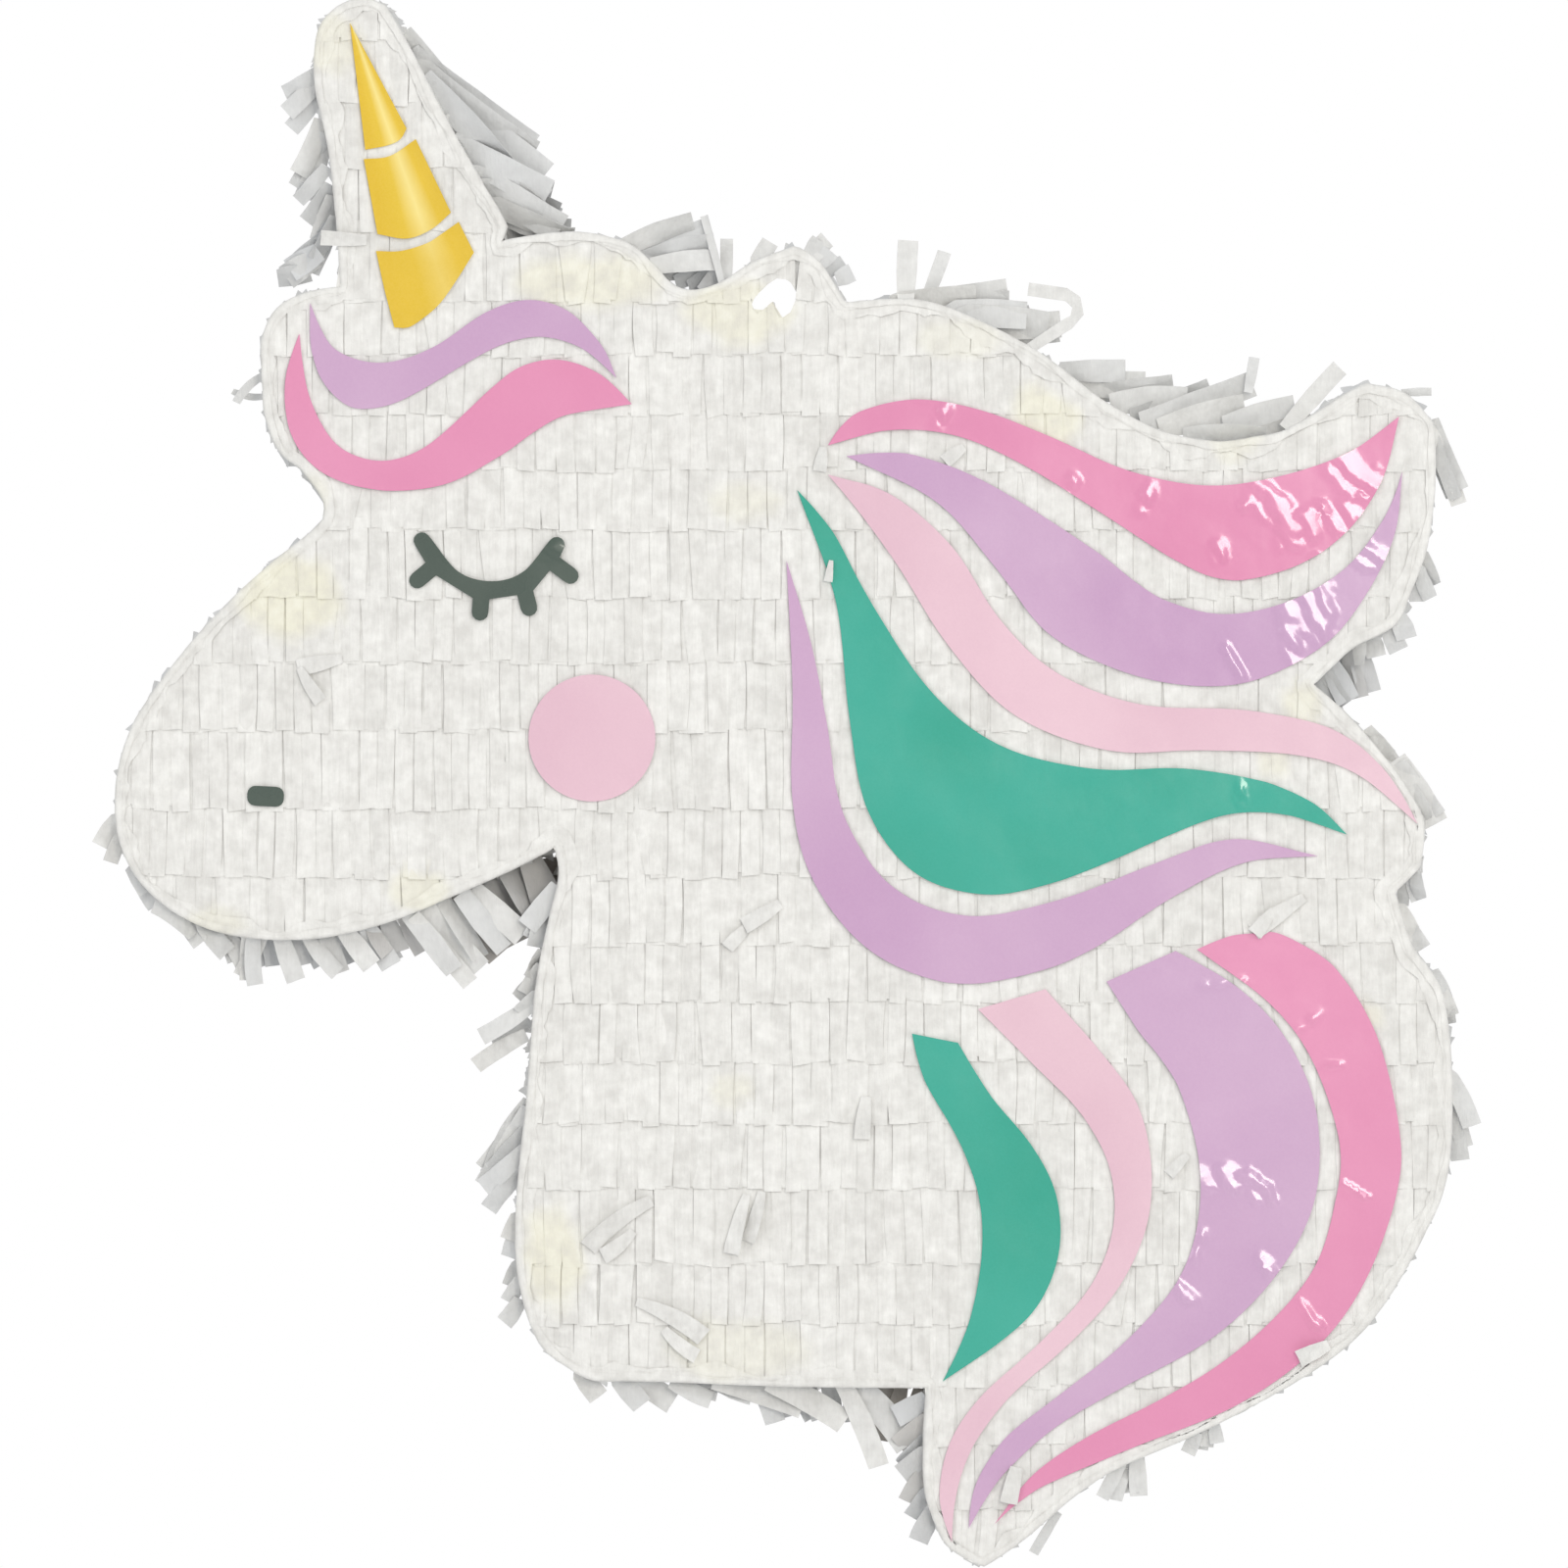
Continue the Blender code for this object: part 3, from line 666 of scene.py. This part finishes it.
def inner_points(region, ring, spacing):
    """A staggered grid of points inside the ring, clear of its edge."""
    xs, zs = [p.x for p in ring], [p.y for p in ring]
    points, row, z = [], 0, min(zs) + spacing / 2
    while z < max(zs):
        x = min(xs) + spacing * (0.25 + 0.5 * (row % 2))
        while x < max(xs):
            if region.holds(x, z) and region.edge_distance(x, z) > 0.55 * spacing:
                points.append(Vector((x, z)))
            x += spacing
        z += spacing * 0.87
        row += 1
    return points


def build_sticker(node, ring):
    """A sheet of vinyl inside a ring, in place of its node."""
    flat, faces = filled([ring], inner_points(Region(ring), ring, STICKER_GRID))
    total = len(flat)
    outer = [(p.x, FRONT - sticker_height(p.x, p.y), p.y) for p in flat]
    vertices = outer + [(x, y + STICKER_THICKNESS, z) for x, y, z in outer]
    used = dict.fromkeys((a, b) for face in faces for a, b in zip(face, face[1:] + face[:1]))
    solid = [tuple(face) for face in faces]
    solid += [tuple(i + total for i in reversed(face)) for face in faces]
    solid += [(b, a, a + total, b + total) for a, b in used if (b, a) not in used]
    colour = next(c for start, c in COLOURS.items() if node.startswith(start))
    stored = {"across": horn_across(vertices)} if colour == "gold" else {}
    mesh = new_mesh("sticker_" + node, vertices, solid, FINISHES[colour], **stored)
    mesh.set_sharp_from_angle(angle=STICKER_CREASE)
    piece = new_object("sticker_" + node, mesh)
    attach(piece, "shell")
    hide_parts(node)


def horn_across(vertices):
    """Where each point lies across the horn, from 0 at its left side to 1 at its right.

    It is an angle about the horn's tip. The base's lower left corner lies inset from its box.
    """
    inset, above_tip = 7.0, 1.0
    tip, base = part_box("horn_tip"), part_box("horn_base")
    apex = Vector((tip[0].x, tip[1].z)) / MM
    left = Vector((base[0].x, base[0].z)) / MM - apex
    right = Vector((base[1].x, base[1].z)) / MM - apex
    first, last = math.atan2(left.x + inset, -left.y), math.atan2(right.x, -right.y)
    angles = [math.atan2(x - apex.x, apex.y + above_tip - z) for x, _, z in vertices]
    return [(angle - first) / (last - first) for angle in angles]


# The faces

# The tissue over the rope hole is torn into two lobes: knots (x, z) clockwise from the top.
TORN_HOLE = [
    (3.0, 5.0), (5.4, 3.6), (7.2, 0.6), (6.6, -4.2), (5.2, -6.4), (3.0, -7.8), (1.3, -7.4), (0.7, -5.2),
    (0.2, -2.8), (-0.5, -2.5), (-3.0, -4.8), (-5.4, -6.5), (-7.3, -4.3), (-7.0, -2.2), (-3.8, 1.6),
    (0.2, 4.8),
]


def lay_backing(outline, hole):
    """The plain sheet of tissue glued on the front card, under the rows."""
    flat, faces = filled([outline, hole])
    torn = Region(hole)
    sheet = Sheet()
    # Its shade of 0.3 is painted shade, greying the sheet where it shows in the gaps between the
    # strips.
    sheet.add_points([(p.x, FRONT - BACKING_HEIGHT, p.y) for p in flat], 0.0, shade=0.3)
    for face in faces:
        middle = sum((flat[i] for i in face), Vector((0, 0))) / len(face)
        if not torn.holds(middle.x, middle.y):
            sheet.faces.append(tuple(face))
    tissue_object("front_backing", sheet, "shell")


def row_spans(outline):
    """The top and bottom of each row of strips. The rows meet at the lower edges of the CAD's rows."""
    low, high = extent(outline)
    edges = [row_edge(n) for n in FRONT_ROWS[:-1]]
    return list(zip([high[1] + 1] + edges, edges + [low[1] - 2]))


def build_front(outline, rows, stickers):
    """The tissue on the front, one piece for each row, in front of the backing sheet."""
    hole = smoothed([Vector(p) for p in TORN_HOLE], HOLE_STEP)
    lay_backing(outline, hole)
    low, high = extent(outline)
    face = Face(FRONT, -1, Region(outline, hole), Covers(Region(*stickers), low, high))
    for name, (top, bottom) in zip(FRONT_ROWS, rows):
        sheet = Sheet()
        lay_row(sheet, face, low[0], high[0], top + ROW_OVERLAP, bottom)
        tissue_object(name.replace("fringe", "row"), sheet, "shell", name)
    return face


def build_back(outline, rows):
    """The tissue on the back, in three pieces, and the tissue on the flap."""
    level = round(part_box("back_fringe_upper")[1].y / MM, 2)
    hole = smoothed(face_rings("back_fringe_upper", level)[1], HOLE_STEP)
    opening = face_rings("back_fringe_middle", level)[1]
    face = Face(BACK, 1, Region(outline, hole, opening))
    low, high = extent(outline)
    sheets = {f"back_fringe_{part}": Sheet() for part in ("upper", "middle", "lower")}
    for top, bottom in rows:
        name = next(n for n in sheets if (top + bottom) / 2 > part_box(n)[0].z / MM)
        lay_row(sheets[name], face, low[0], high[0], top + ROW_OVERLAP, bottom)
    for name, sheet in sheets.items():
        tissue_object(name.replace("fringe", "rows"), sheet, "shell", name)
    flap = Face(BACK, 1, Region(face_rings("flap_fringe", level)[0]))
    sheet = Sheet()
    low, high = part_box("flap_fringe")
    flap_base, flap_top = low.z / MM, high.z / MM
    for top, bottom in rows:
        if bottom < flap_top - FLAP_ROW and top > flap_base + FLAP_ROW:
            lay_row(sheet, flap, low.x / MM, high.x / MM, min(top + ROW_OVERLAP, flap_top), bottom)
    tissue_object("flap_rows", sheet, "flap", "flap_fringe")


# The wall

# Fans of strips that stand out from the wall: first and last root (x, z), heading and length at each
# (0 is +X, 90 is up), strip width, how many, tilt of the face in degrees, and where they aren't
# 0.5 and 4, painted shade (grey for strips in shadow, brown above 1 in deep recesses) and
# distance behind the front edge.
FANS = [
    # right of the horn
    ((-122, 86), (-97, 30), (-47, -24), (54, 31), 10, 12, 30, 0.6, 5),
    ((-121, 80), (-93, 21), (-50, -10), (48, 24), 11, 11, 35, 0.8, 14),
    # left of the horn
    ((-149, 73), (-148, 66), (-140, -128), (14, 16), 6.5, 3, -20, 0.7),
    ((-148, 58), (-147, 50), (-112, -104), (20, 20), 6.5, 3, -20, 0.6),
    ((-146, 42), (-144, 32), (-128, -114), (15, 16), 6.5, 3, -20, 0.7),
    ((-143, 26), (-152, 7), (-110, -168), (18, 11), 8, 6, -30, 0.8, 6),
    # under the jaw
    ((-194, -203), (-182, -206), (-62, -58), (13, 14), 6.3, 3, -15),
    ((-171, -208), (-166, -209), (-92, -118), (17, 18), 6, 2, -15),
    ((-178, -207), (-132, -207), (-80, -62), (11, 13), 7, 8, -25, 0.9, 10),
    ((-160, -209), (-135, -206), (-66, -54), (17, 17), 6.3, 5, -15),
    ((-132, -205), (-122, -203), (-68, -60), (13, 14), 6.3, 3, -25, 1.3, 8),
    ((-119, -202), (-98, -194), (-52, -46), (27, 26), 7.6, 5, -20, 0.55),
    ((-104, -196), (-80, -185), (-50, -62), (24, 22), 12, 5, -35, 1.25, 14),
    ((-84, -187), (-73, -184), (-70, -88), (20, 22), 10, 3, -35, 1.8, 26),
    # front of the nose
    ((-211, -171), (-213, -177), (-126, -118), (13, 11), 5.6, 2, -15, 0.4),
    ((-208, -184), (-205, -190), (-66, -60), (13, 12), 6.2, 2, -15),
    # the neck's front edge
    ((-71, -194), (-74, -200), (-124, -112), (17, 14), 7, 3, -20, 0.7),
    ((-75, -214), (-77, -228), (-118, -135), (12, 10), 6.2, 4, -20, 0.6),
    ((-80, -262), (-82, -286), (-125, -140), (26, 18), 6.6, 5, -25, 0.6),
    ((-82, -300), (-83, -330), (-112, -118), (10, 9), 6.2, 5, -20),
    # under the chest
    ((-62, -350), (-34, -355), (-48, -30), (14, 16), 7, 4, -20),
    ((-30, -355), (-12, -355), (-24, -20), (14, 14), 7, 3, -25, 0.6, 6),
    ((-6, -355), (24, -356), (-62, -80), (15, 15), 6.2, 6, -20, 0.8, 10),
    ((32, -356), (48, -358), (-88, -108), (20, 22), 8, 4, -35, 1.6, 18),
    ((50, -362), (52, -396), (-142, -118), (14, 12), 6.8, 7, -25, 1.1, 5),
    # under the tail
    ((119, -379), (113, -382), (-84, -118), (13, 14), 5.6, 4, -15),
    ((144, -369), (138, -372), (-78, -112), (7, 8), 4.6, 4, -15),
    # behind the mane
    ((219, -254), (220, -266), (-66, -76), (20, 18), 6, 3, 20),
    ((215, -222), (217, -230), (-62, -72), (12, 10), 5.6, 3, 20),
    ((200, -199), (204, -203), (-62, -50), (15, 14), 6.2, 2, 20, 0.4, 3),
    ((208, -186), (205, -190), (-76, -84), (11, 10), 4.6, 3, 20, 0.6),
    ((203, -153), (206, -160), (-54, -62), (23, 15), 9, 2, 20),
    ((193, -141), (198, -148), (-50, -56), (13, 12), 6, 3, 20),
    ((203, -105), (191, -112), (-66, -88), (9, 8), 6.2, 4, 20),
    ((190, -111), (176, -125), (-74, -58), (19, 12), 7, 6, 30, 1, 10),
    ((210, -84), (208, -92), (-70, -82), (13, 9), 5, 3, 20, 0.6),
    ((215, -41), (216, -50), (-66, -74), (26, 19), 5.6, 3, 20),
    # along the crown
    ((-50, 15), (-40, 9), (27, 13), (28, 26), 7.4, 4, 20, 0.6, 5),
    ((-38, 6), (-24, 1), (14, 40), (17, 12), 7, 4, 30, 0.9, 12),
    ((11, 12), (20, 5), (62, 20), (8, 6), 5.5, 4, 15, 0.6),
    ((38, -3), (66, -10), (8, -6), (32, 28), 8.5, 6, 25, 0.4, 7),
    ((56, -5), (74, -13), (24, 4), (14, 18), 7.5, 4, 25, 0.5, 13),
    ((92, -24), (116, -40), (-8, 14), (22, 32), 8.5, 5, 25, 0.5, 8),
    ((120, -42), (134, -47), (20, 4), (38, 28), 9, 3, 20, 0.4, 5),
    ((148, -43), (156, -46), (18, 12), (26, 20), 7, 2, 20, 0.5, 7),
]

# Single strips that stand out: root (x, z), distance behind the front edge, heading, length, width,
# and bend in degrees over the strip's length.
STRAYS = [
    ((43, -3), 6, 89, 21, 6.8, -3), ((49, -3), 9, 66, 19, 4.6, 6), ((-15.5, 3), 8, 91, 16, 4.2, -2),
    ((-17, 3), 6, 103, 24, 2.6, 4), ((-6, 9), 6, 50, 9, 6, 10), ((12, 11), 5, 62, 9, 6, -20),
    ((82, -18.6), 6, 33, 42, 4.4, 139), ((155, -32), 9, 80, 12, 3.6, 0),
    ((167, -44), 5, 50, 27, 6.2, -4), ((205, -32), 8, 2, 10, 2.8, 0),
    ((-166, -26), 8, 205, 14, 3, 40), ((-166, -33), 12, 190, 12, 2.5, -40),
    ((-79, -232), 6, 216, 20, 5.8, -8), ((-81, -242), 9, 206, 20, 5.6, 12),
    ((-80, -237), 12, 226, 15, 5, -30), ((-80, -266), 5, 241, 31, 7.2, -4),
    ((-203, -200), 4, -22, 17, 5.6, -30), ((-20, -355), 5, -14, 31, 7.4, -8),
    ((-2, -355), 4, -22, 29, 8.4, -14), ((22, -355), 4, -62, 31, 7, -10),
    ((27, -356), 6, -46, 27, 9.2, -10), ((93, -398), 6, 236, 16, 3.4, 6),
    ((-118, -203), 4, -50, 30, 6, 0), ((-172, -208), 4, 268, 17, 5, 2),
    ((203, -152), 5, -56, 25, 9.5, -6), ((214, -44), 5, -67, 27, 5.6, -4),
]

# Loose strips that lie across the front: start (x, z), heading, length, width, bend, and height.
LOOSE = [
    ((-141, -119), 192, 15, 5.6, 0, 1.25), ((-155, -122), -62, 13, 4.8, 10, 1.5),
    ((-133, 17.6), 179, 15, 5.2, -4, 1.6),
    ((2, -199), 214, 14, 5.6, -6, 1.6), ((-9, -207), 222, 9, 4.6, 8, 1.45),
    ((-40, -296), 206, 26, 6.2, 24, 1.4), ((-46, -306), 228, 13, 5.4, -20, 1.5),
    ((-45, -329), -18, 25, 6.4, -22, 1.6), ((-36, -338), -48, 14, 5, 20, 1.5),
    ((-9, -294), 252, 20, 5.6, 8, 1.5), ((-4, -293), 258, 17, 5, -8, 1.45),
    ((135, -281), 224, 9, 4.2, 6, 1.4), ((173, -197), 212, 20, 6.2, 4, 1.6),
    ((163, -201), 232, 10, 5.2, 0, 2.6), ((79, -383), 258, 12, 6, 0, 2.6),
    ((181, -343), 205, 11, 6, 0, 2.6), ((18.6, -87), 262, 7, 2.8, 0, 2.6),
    ((62, -50), 215, 8, 5, 6, 1.5), ((16, -50), 262, 8, 4.6, 0, 1.5),
    ((30, -262), 262, 14, 5.4, 6, 1.5),
]


class Outline:
    """The outer edge as a closed path, measured along its length."""

    def __init__(self, points):
        self.points = np.array([tuple(p) for p in points])
        after = np.roll(self.points, -1, 0)
        steps = after - self.points
        lengths = np.linalg.norm(steps, axis=1)
        self.starts = np.concatenate([[0], np.cumsum(lengths)])
        self.length = self.starts[-1]
        self.along = steps / lengths[:, None]
        area = sum(Vector(p).cross(Vector(q)) for p, q in zip(self.points, after))
        clockwise = 1 if area < 0 else -1
        self.out = np.stack([-self.along[:, 1], self.along[:, 0]], 1) * clockwise

    def at(self, s):
        """The point, the direction along and the direction out at a distance along the outline."""
        s %= self.length
        i = min(int(np.searchsorted(self.starts, s, "right")) - 1, len(self.points) - 1)
        wide = [(i + k) % len(self.points) for k in (-2, -1, 0, 1, 2)]
        out = self.out[wide].sum(0)
        out /= np.linalg.norm(out)
        here = self.points[i] + self.along[i] * (s - self.starts[i])
        return Vector(here), Vector((out[1], -out[0])), Vector(out)

    def nearest(self, p):
        """The number of the outline's point that is nearest to p, and how far away it is."""
        gaps = np.linalg.norm(self.points - np.array(tuple(p)), axis=1)
        return int(gaps.argmin()), gaps.min()

    def kept_out(self, p, clearance):
        """The point p, moved out if it is nearer to the wall than clearance."""
        i, gap = self.nearest(p)
        depth = float((np.array(tuple(p)) - self.points[i]) @ self.out[i])
        if gap < NEAR_WALL and depth < clearance:
            return p + Vector(self.out[i]) * (clearance - depth)
        return p


def ribbon(sheet, spine, sides, width, tone, shade):
    """A strip of crumpled tissue along a spine, with its width along the side at each point."""
    cup, seed = RANDOM.uniform(-0.4, 0.4), RANDOM.uniform(0, 100)
    across = (-1, 0, 1) if width < 6.5 else (-1, -0.5, 0, 0.5, 1)
    columns = []
    for u in across:
        column = []
        for k, (p, side) in enumerate(zip(spine, sides)):
            ahead = spine[min(k + 1, len(spine) - 1)] - spine[max(k - 1, 0)]
            normal = ahead.cross(side).normalized()
            t = k / (len(spine) - 1)
            half = width / 2 * (0.78 + 0.22 * min(1.0, 2 * t))
            lift = cup * (1 - u * u) + 0.45 * noise.noise(Vector((u * width / 5 + seed, t * 3.5, seed)))
            column.append(tuple(p + side * (u * half) + normal * lift * min(1.0, 3 * t)))
        columns.append(column)
    # shade is stored as the strip's painted shade.
    sheet.grid(columns, tone, shade=shade)


def wall_strip(sheet, outline, s, start, width):
    """A strip rooted on the wall at y = start. It runs towards the back and flares out a little."""
    root, along, out = outline.at(s)
    if along.y > 0:
        along = -along
    tilt = math.radians(RANDOM.gauss(30, 20)) * abs(along.y)
    outward = out * math.cos(tilt) + along * math.sin(tilt)
    length = RANDOM.uniform(*WALL_STRIP)
    flare = math.asin(RANDOM.uniform(*WALL_REACH) / length)
    twist = RANDOM.gauss(0, 0.3)
    steps = 6
    here, y = root + out * WALL_CLEARANCE, start
    spine, sides = [], []
    for k in range(steps + 1):
        t = k / steps
        angle = flare * min(1.3, 1.8 * t)
        heading = Vector((outward.x * math.sin(angle), math.cos(angle), outward.y * math.sin(angle)))
        spine.append(Vector((here.x, min(y, WALL_END), here.y)))
        side = heading.cross(Vector((out.x, -0.4, out.y))).normalized()
        turn = twist * t * t
        sides.append(side * math.cos(turn) + heading.cross(side) * math.sin(turn))
        here = outline.kept_out(
            here + Vector((heading.x, heading.z)) * (length / steps), WALL_CLEARANCE + 0.9 * t
        )
        y += heading.y * length / steps
    # The random shade up to 0.6 is painted shade, greying the strip as tissue in shadow on the wall.
    ribbon(sheet, spine, sides, width, RANDOM.uniform(-1, 0.6), RANDOM.uniform(0.0, 0.6))


def stray_strip(sheet, outline, root, behind, heading, length, width, bend, tilt=0.0, shade=0.4):
    """A single strip that stands out from the wall, its face towards the front."""
    steps = 10
    here = Vector((root[0], FRONT + behind, root[1]))
    slope = RANDOM.uniform(0.05, 0.3)
    sway = RANDOM.gauss(0, 0.25)
    twist = RANDOM.gauss(0, 0.3)
    spine, sides = [], []
    for k in range(steps + 1):
        t = k / steps
        # A strip that bends by more than a right angle is folded over about its middle.
        turned = t if abs(bend) < 90 else min(1.0, max(0.0, (t - 0.38) / 0.28))
        angle = math.radians(heading + bend * turned)
        backwards = slope * (1 - t) + sway * math.sin(math.tau * t)
        ahead = Vector((math.cos(angle), backwards, math.sin(angle))).normalized()
        spine.append(here.copy())
        side = Vector((-ahead.z, 0, ahead.x)).normalized()
        turn = math.radians(tilt) + twist * t
        sides.append(side * math.cos(turn) + ahead.cross(side) * math.sin(turn))
        here = here + ahead * (length / steps)
        flat = outline.kept_out(Vector((here.x, here.z)), WALL_CLEARANCE)
        here = Vector((flat.x, here.y, flat.y))
    tone = RANDOM.uniform(-0.6, 0.8)
    # shade is painted shade, greying the strip as tissue in shadow, and browning it above 1.
    ribbon(sheet, spine, sides, width, tone, max(0.0, shade + RANDOM.uniform(-0.2, 0.2)))


def fan_of_strips(
    sheet, outline, first, last, headings, lengths, width, count, tilt, shade=0.5, behind=4
):
    """Neighbouring strips that stand out from the wall, rooted between two points."""
    # shade is the fan's painted shade, passed on to each strip.
    for i in range(count):
        t = (i + RANDOM.uniform(-0.25, 0.25)) / (count - 1)
        root = (first[0] + (last[0] - first[0]) * t, first[1] + (last[1] - first[1]) * t)
        heading = headings[0] + (headings[1] - headings[0]) * t + RANDOM.gauss(0, 3)
        length = (lengths[0] + (lengths[1] - lengths[0]) * t) * RANDOM.uniform(0.85, 1.06)
        back = behind + 1.6 * (i % 3) + RANDOM.uniform(0, 1.2)
        stray_strip(
            sheet, outline, root, back, heading, length, width * RANDOM.uniform(0.9, 1.15),
            RANDOM.gauss(0, 7), tilt + RANDOM.gauss(0, 8), shade,
        )


def wall_skin(sheets, outline, side_of):
    """The tissue glued flat on the wall, under the strips."""
    step, stations = 4.0, (-44, -20, 0, 20, 44)
    count = round(outline.length / step)
    for i in range(count):
        columns = []
        for k in (i, i + 1):
            p, _, out = outline.at(outline.length * (k % count) / count)
            q = p + out * WALL_SKIN
            columns.append([(q.x, y, q.y) for y in stations])
        sheets[side_of(outline.length * i / count)].grid(columns, -0.5)


def build_wall(outline):
    """Rows of strips round the outline, one piece for each wall."""
    sides = ("horn", "crown", "mane", "neck", "muzzle")
    places = {}
    for side in sides:
        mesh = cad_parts[f"wall_fringe_{side}"].data
        places[side] = np.array([(v.co.x / MM, v.co.z / MM) for v in mesh.vertices])

    def side_of(s):
        here = np.array(tuple(outline.at(s)[0]))
        return min(sides, key=lambda name: np.linalg.norm(places[name] - here, axis=1).min())

    sheets = {side: Sheet() for side in sides}
    wall_skin(sheets, outline, side_of)
    for start in WALL_ROWS:
        s = RANDOM.uniform(0, STRIP_WIDTH)
        while s < outline.length - STRIP_WIDTH / 2:
            width = STRIP_WIDTH * RANDOM.uniform(0.85, 1.2)
            wall_strip(sheets[side_of(s)], outline, s, start + RANDOM.uniform(-1, 1), width)
            s += width + RANDOM.uniform(-0.3, 0.5)
    for make, shapes in ((stray_strip, STRAYS), (fan_of_strips, FANS)):
        for root, *shape in shapes:
            s = float(outline.starts[outline.nearest(root)[0]])
            make(sheets[side_of(s)], outline, root, *shape)
    for side, sheet in sheets.items():
        tissue_object(f"wall_rows_{side}", sheet, "shell", f"wall_fringe_{side}")


def build_loose_strips():
    """The bent and fallen strips on the front."""
    sheet = Sheet()
    for start, heading, length, width, bend, height in LOOSE:
        steps = 8
        here = Vector((start[0], FRONT - height, start[1]))
        twist = RANDOM.choice((-1, 1)) * RANDOM.uniform(0.1, 0.5)
        pinch = RANDOM.uniform(0.1, 0.45)
        spine, sides = [], []
        for k in range(steps + 1):
            t = k / steps
            angle = math.radians(heading + bend * t)
            turn = twist * math.sin(2.4 * t)
            narrow = 1 - pinch * (1 - t) ** 2
            lift = 0.45 * math.sin(math.pi * t) + 0.25 * t + abs(math.sin(turn)) * width / 2
            spine.append(here - Vector((0, lift, 0)))
            flat, raised = math.cos(turn) * narrow, math.sin(turn) * narrow
            sides.append(Vector((-math.sin(angle) * flat, raised, math.cos(angle) * flat)))
            here = here + Vector((math.cos(angle), 0, math.sin(angle))) * (length / steps)
        # A painted shade of 0.1 greys the loose strips slightly.
        ribbon(sheet, spine, sides, width, RANDOM.uniform(-1, 1), 0.1)
    tissue_object("loose_strips", sheet, "shell")


def build_edge_fold(name, outline, face):
    """The narrow folds of tissue that wrap from a face round onto the wall."""
    sheet = Sheet()
    for layer, (height, width) in enumerate(((1.2, 3.6), (1.38, 1.5), (1.55, 1.0))):
        add_fold(sheet, outline, face, height, width, layer)
    tissue_object(name, sheet, "shell")


def add_fold(sheet, outline, face, height, width, layer):
    """One layer of the folds, height above the card face and about width wide on it."""
    count = round(outline.length / FOLD_STEP)
    profile = []
    for i in range(count + 1):
        s = outline.length * (i % count) / count
        p, _, out = outline.at(s)
        ripple = smooth_noise(p.x, p.y, 13, 13, face.out * 5 + layer * 9)
        fine = smooth_noise(p.x, p.y, 3, 3, face.out * 3 + layer * 9)
        inner = max(0.3, width * (1 + 1.3 * ripple + 0.35 * fine))
        swell = 0.12 * fine + 0.12 * layer
        stations = [
            (-inner, height), (-inner * 0.5, height), (0.35, height - 0.05),
            (0.85 + swell, height - 0.35), (1.05 + swell, height - 1.0),
            (1.2 + swell + 0.3 * ripple, -3.0 - 1.5 * layer - 1.2 * ripple),
        ]
        column = []
        for offset, rise in stations:
            q = p + out * offset
            column.append(face.point(q.x, q.y, rise))
        profile.append(column)
    sheet.grid(profile, 0.2, stained=face.out < 0)


# Room, light and camera

def area_light(name, place, target, size, power, colour=(1, 1, 1)):
    data = bpy.data.lights.new(name, "AREA")
    data.shape = "RECTANGLE"
    data.size, data.size_y = size
    data.energy = power
    data.color = colour
    lamp = new_object(name, data)
    lamp.location = place
    lamp.rotation_euler = (Vector(target) - Vector(place)).to_track_quat("-Z", "Y").to_euler()
    lamp.visible_camera = False


def build_studio():
    """A pale floor well below the hanging pinata, a white surround and soft lamps."""
    radius, height, sides = 8000, -1200, 96
    turns = [math.tau * i / sides for i in range(sides)]
    ring = [(radius * math.cos(turn), radius * math.sin(turn), height) for turn in turns]
    floor = new_mesh("floor", ring, [tuple(range(sides))], floor_material())
    new_object("floor", floor)
    world = bpy.data.worlds.new("surround")
    bpy.context.scene.world = world
    world.use_nodes = True
    tree = world.node_tree
    tree.nodes.clear()
    seen = add_node(tree, "ShaderNodeBackground", {"Color": (1, 1, 1, 1), "Strength": 1.0})
    lit = add_node(tree, "ShaderNodeBackground", {"Color": (0.97, 0.985, 1, 1), "Strength": 0.62})
    direct = add_node(tree, "ShaderNodeLightPath").outputs["Is Camera Ray"]
    both = add_node(tree, "ShaderNodeMixShader", {0: direct, 1: lit.outputs[0], 2: seen.outputs[0]})
    add_node(tree, "ShaderNodeOutputWorld", {"Surface": both.outputs[0]})
    target = (0, 0, -0.16)
    area_light("key", (1.5, -2.2, 1.6), target, (1.2, 1.2), 17)
    area_light("fill", (-2.0, -2.4, 0.3), target, (1.6, 1.6), 12)
    area_light("window", (0.95, -4.0, 0.55), (0.15, 0, -0.1), (0.85, 1.15), 37, (1, 0.95, 0.86))
    area_light("back", (-1.2, 2.6, 1.6), target, (1.6, 1.6), 22)


def build_camera():
    """A long lens straight in front, so that the rope hole is seen right through."""
    width, middle = 0.512, (0.0032, -0.160)
    data = bpy.data.cameras.new("camera")
    data.lens = 400.0
    data.sensor_width = 36.0
    camera = new_object("camera", data)
    distance = width * data.lens / data.sensor_width
    camera.location = (middle[0], FRONT * MM - distance, middle[1])
    camera.rotation_euler = (math.radians(90), 0, 0)
    data.clip_start, data.clip_end = 0.1, 100
    bpy.context.scene.camera = camera


def main():
    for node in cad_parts.values():
        node.data.materials.clear()
        node.data.materials.append(CARDBOARD)
    stickers = {
        n: smoothed(front_ring(n), STICKER_STEP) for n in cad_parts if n.startswith(tuple(COLOURS))
    }
    for node, ring in stickers.items():
        build_sticker(node, ring)
    edge = smoothed(front_ring("front_panel"), OUTLINE_STEP)
    rows = row_spans(edge)
    front = build_front(edge, rows, stickers.values())
    build_back(edge, rows)
    outline = Outline(edge)
    build_wall(outline)
    build_loose_strips()
    build_edge_fold("front_edge_fold", outline, front)
    build_edge_fold("back_edge_fold", outline, Face(BACK, 1, None))
    build_studio()
    build_camera()
    bpy.context.scene.view_settings.view_transform = "Standard"


main()
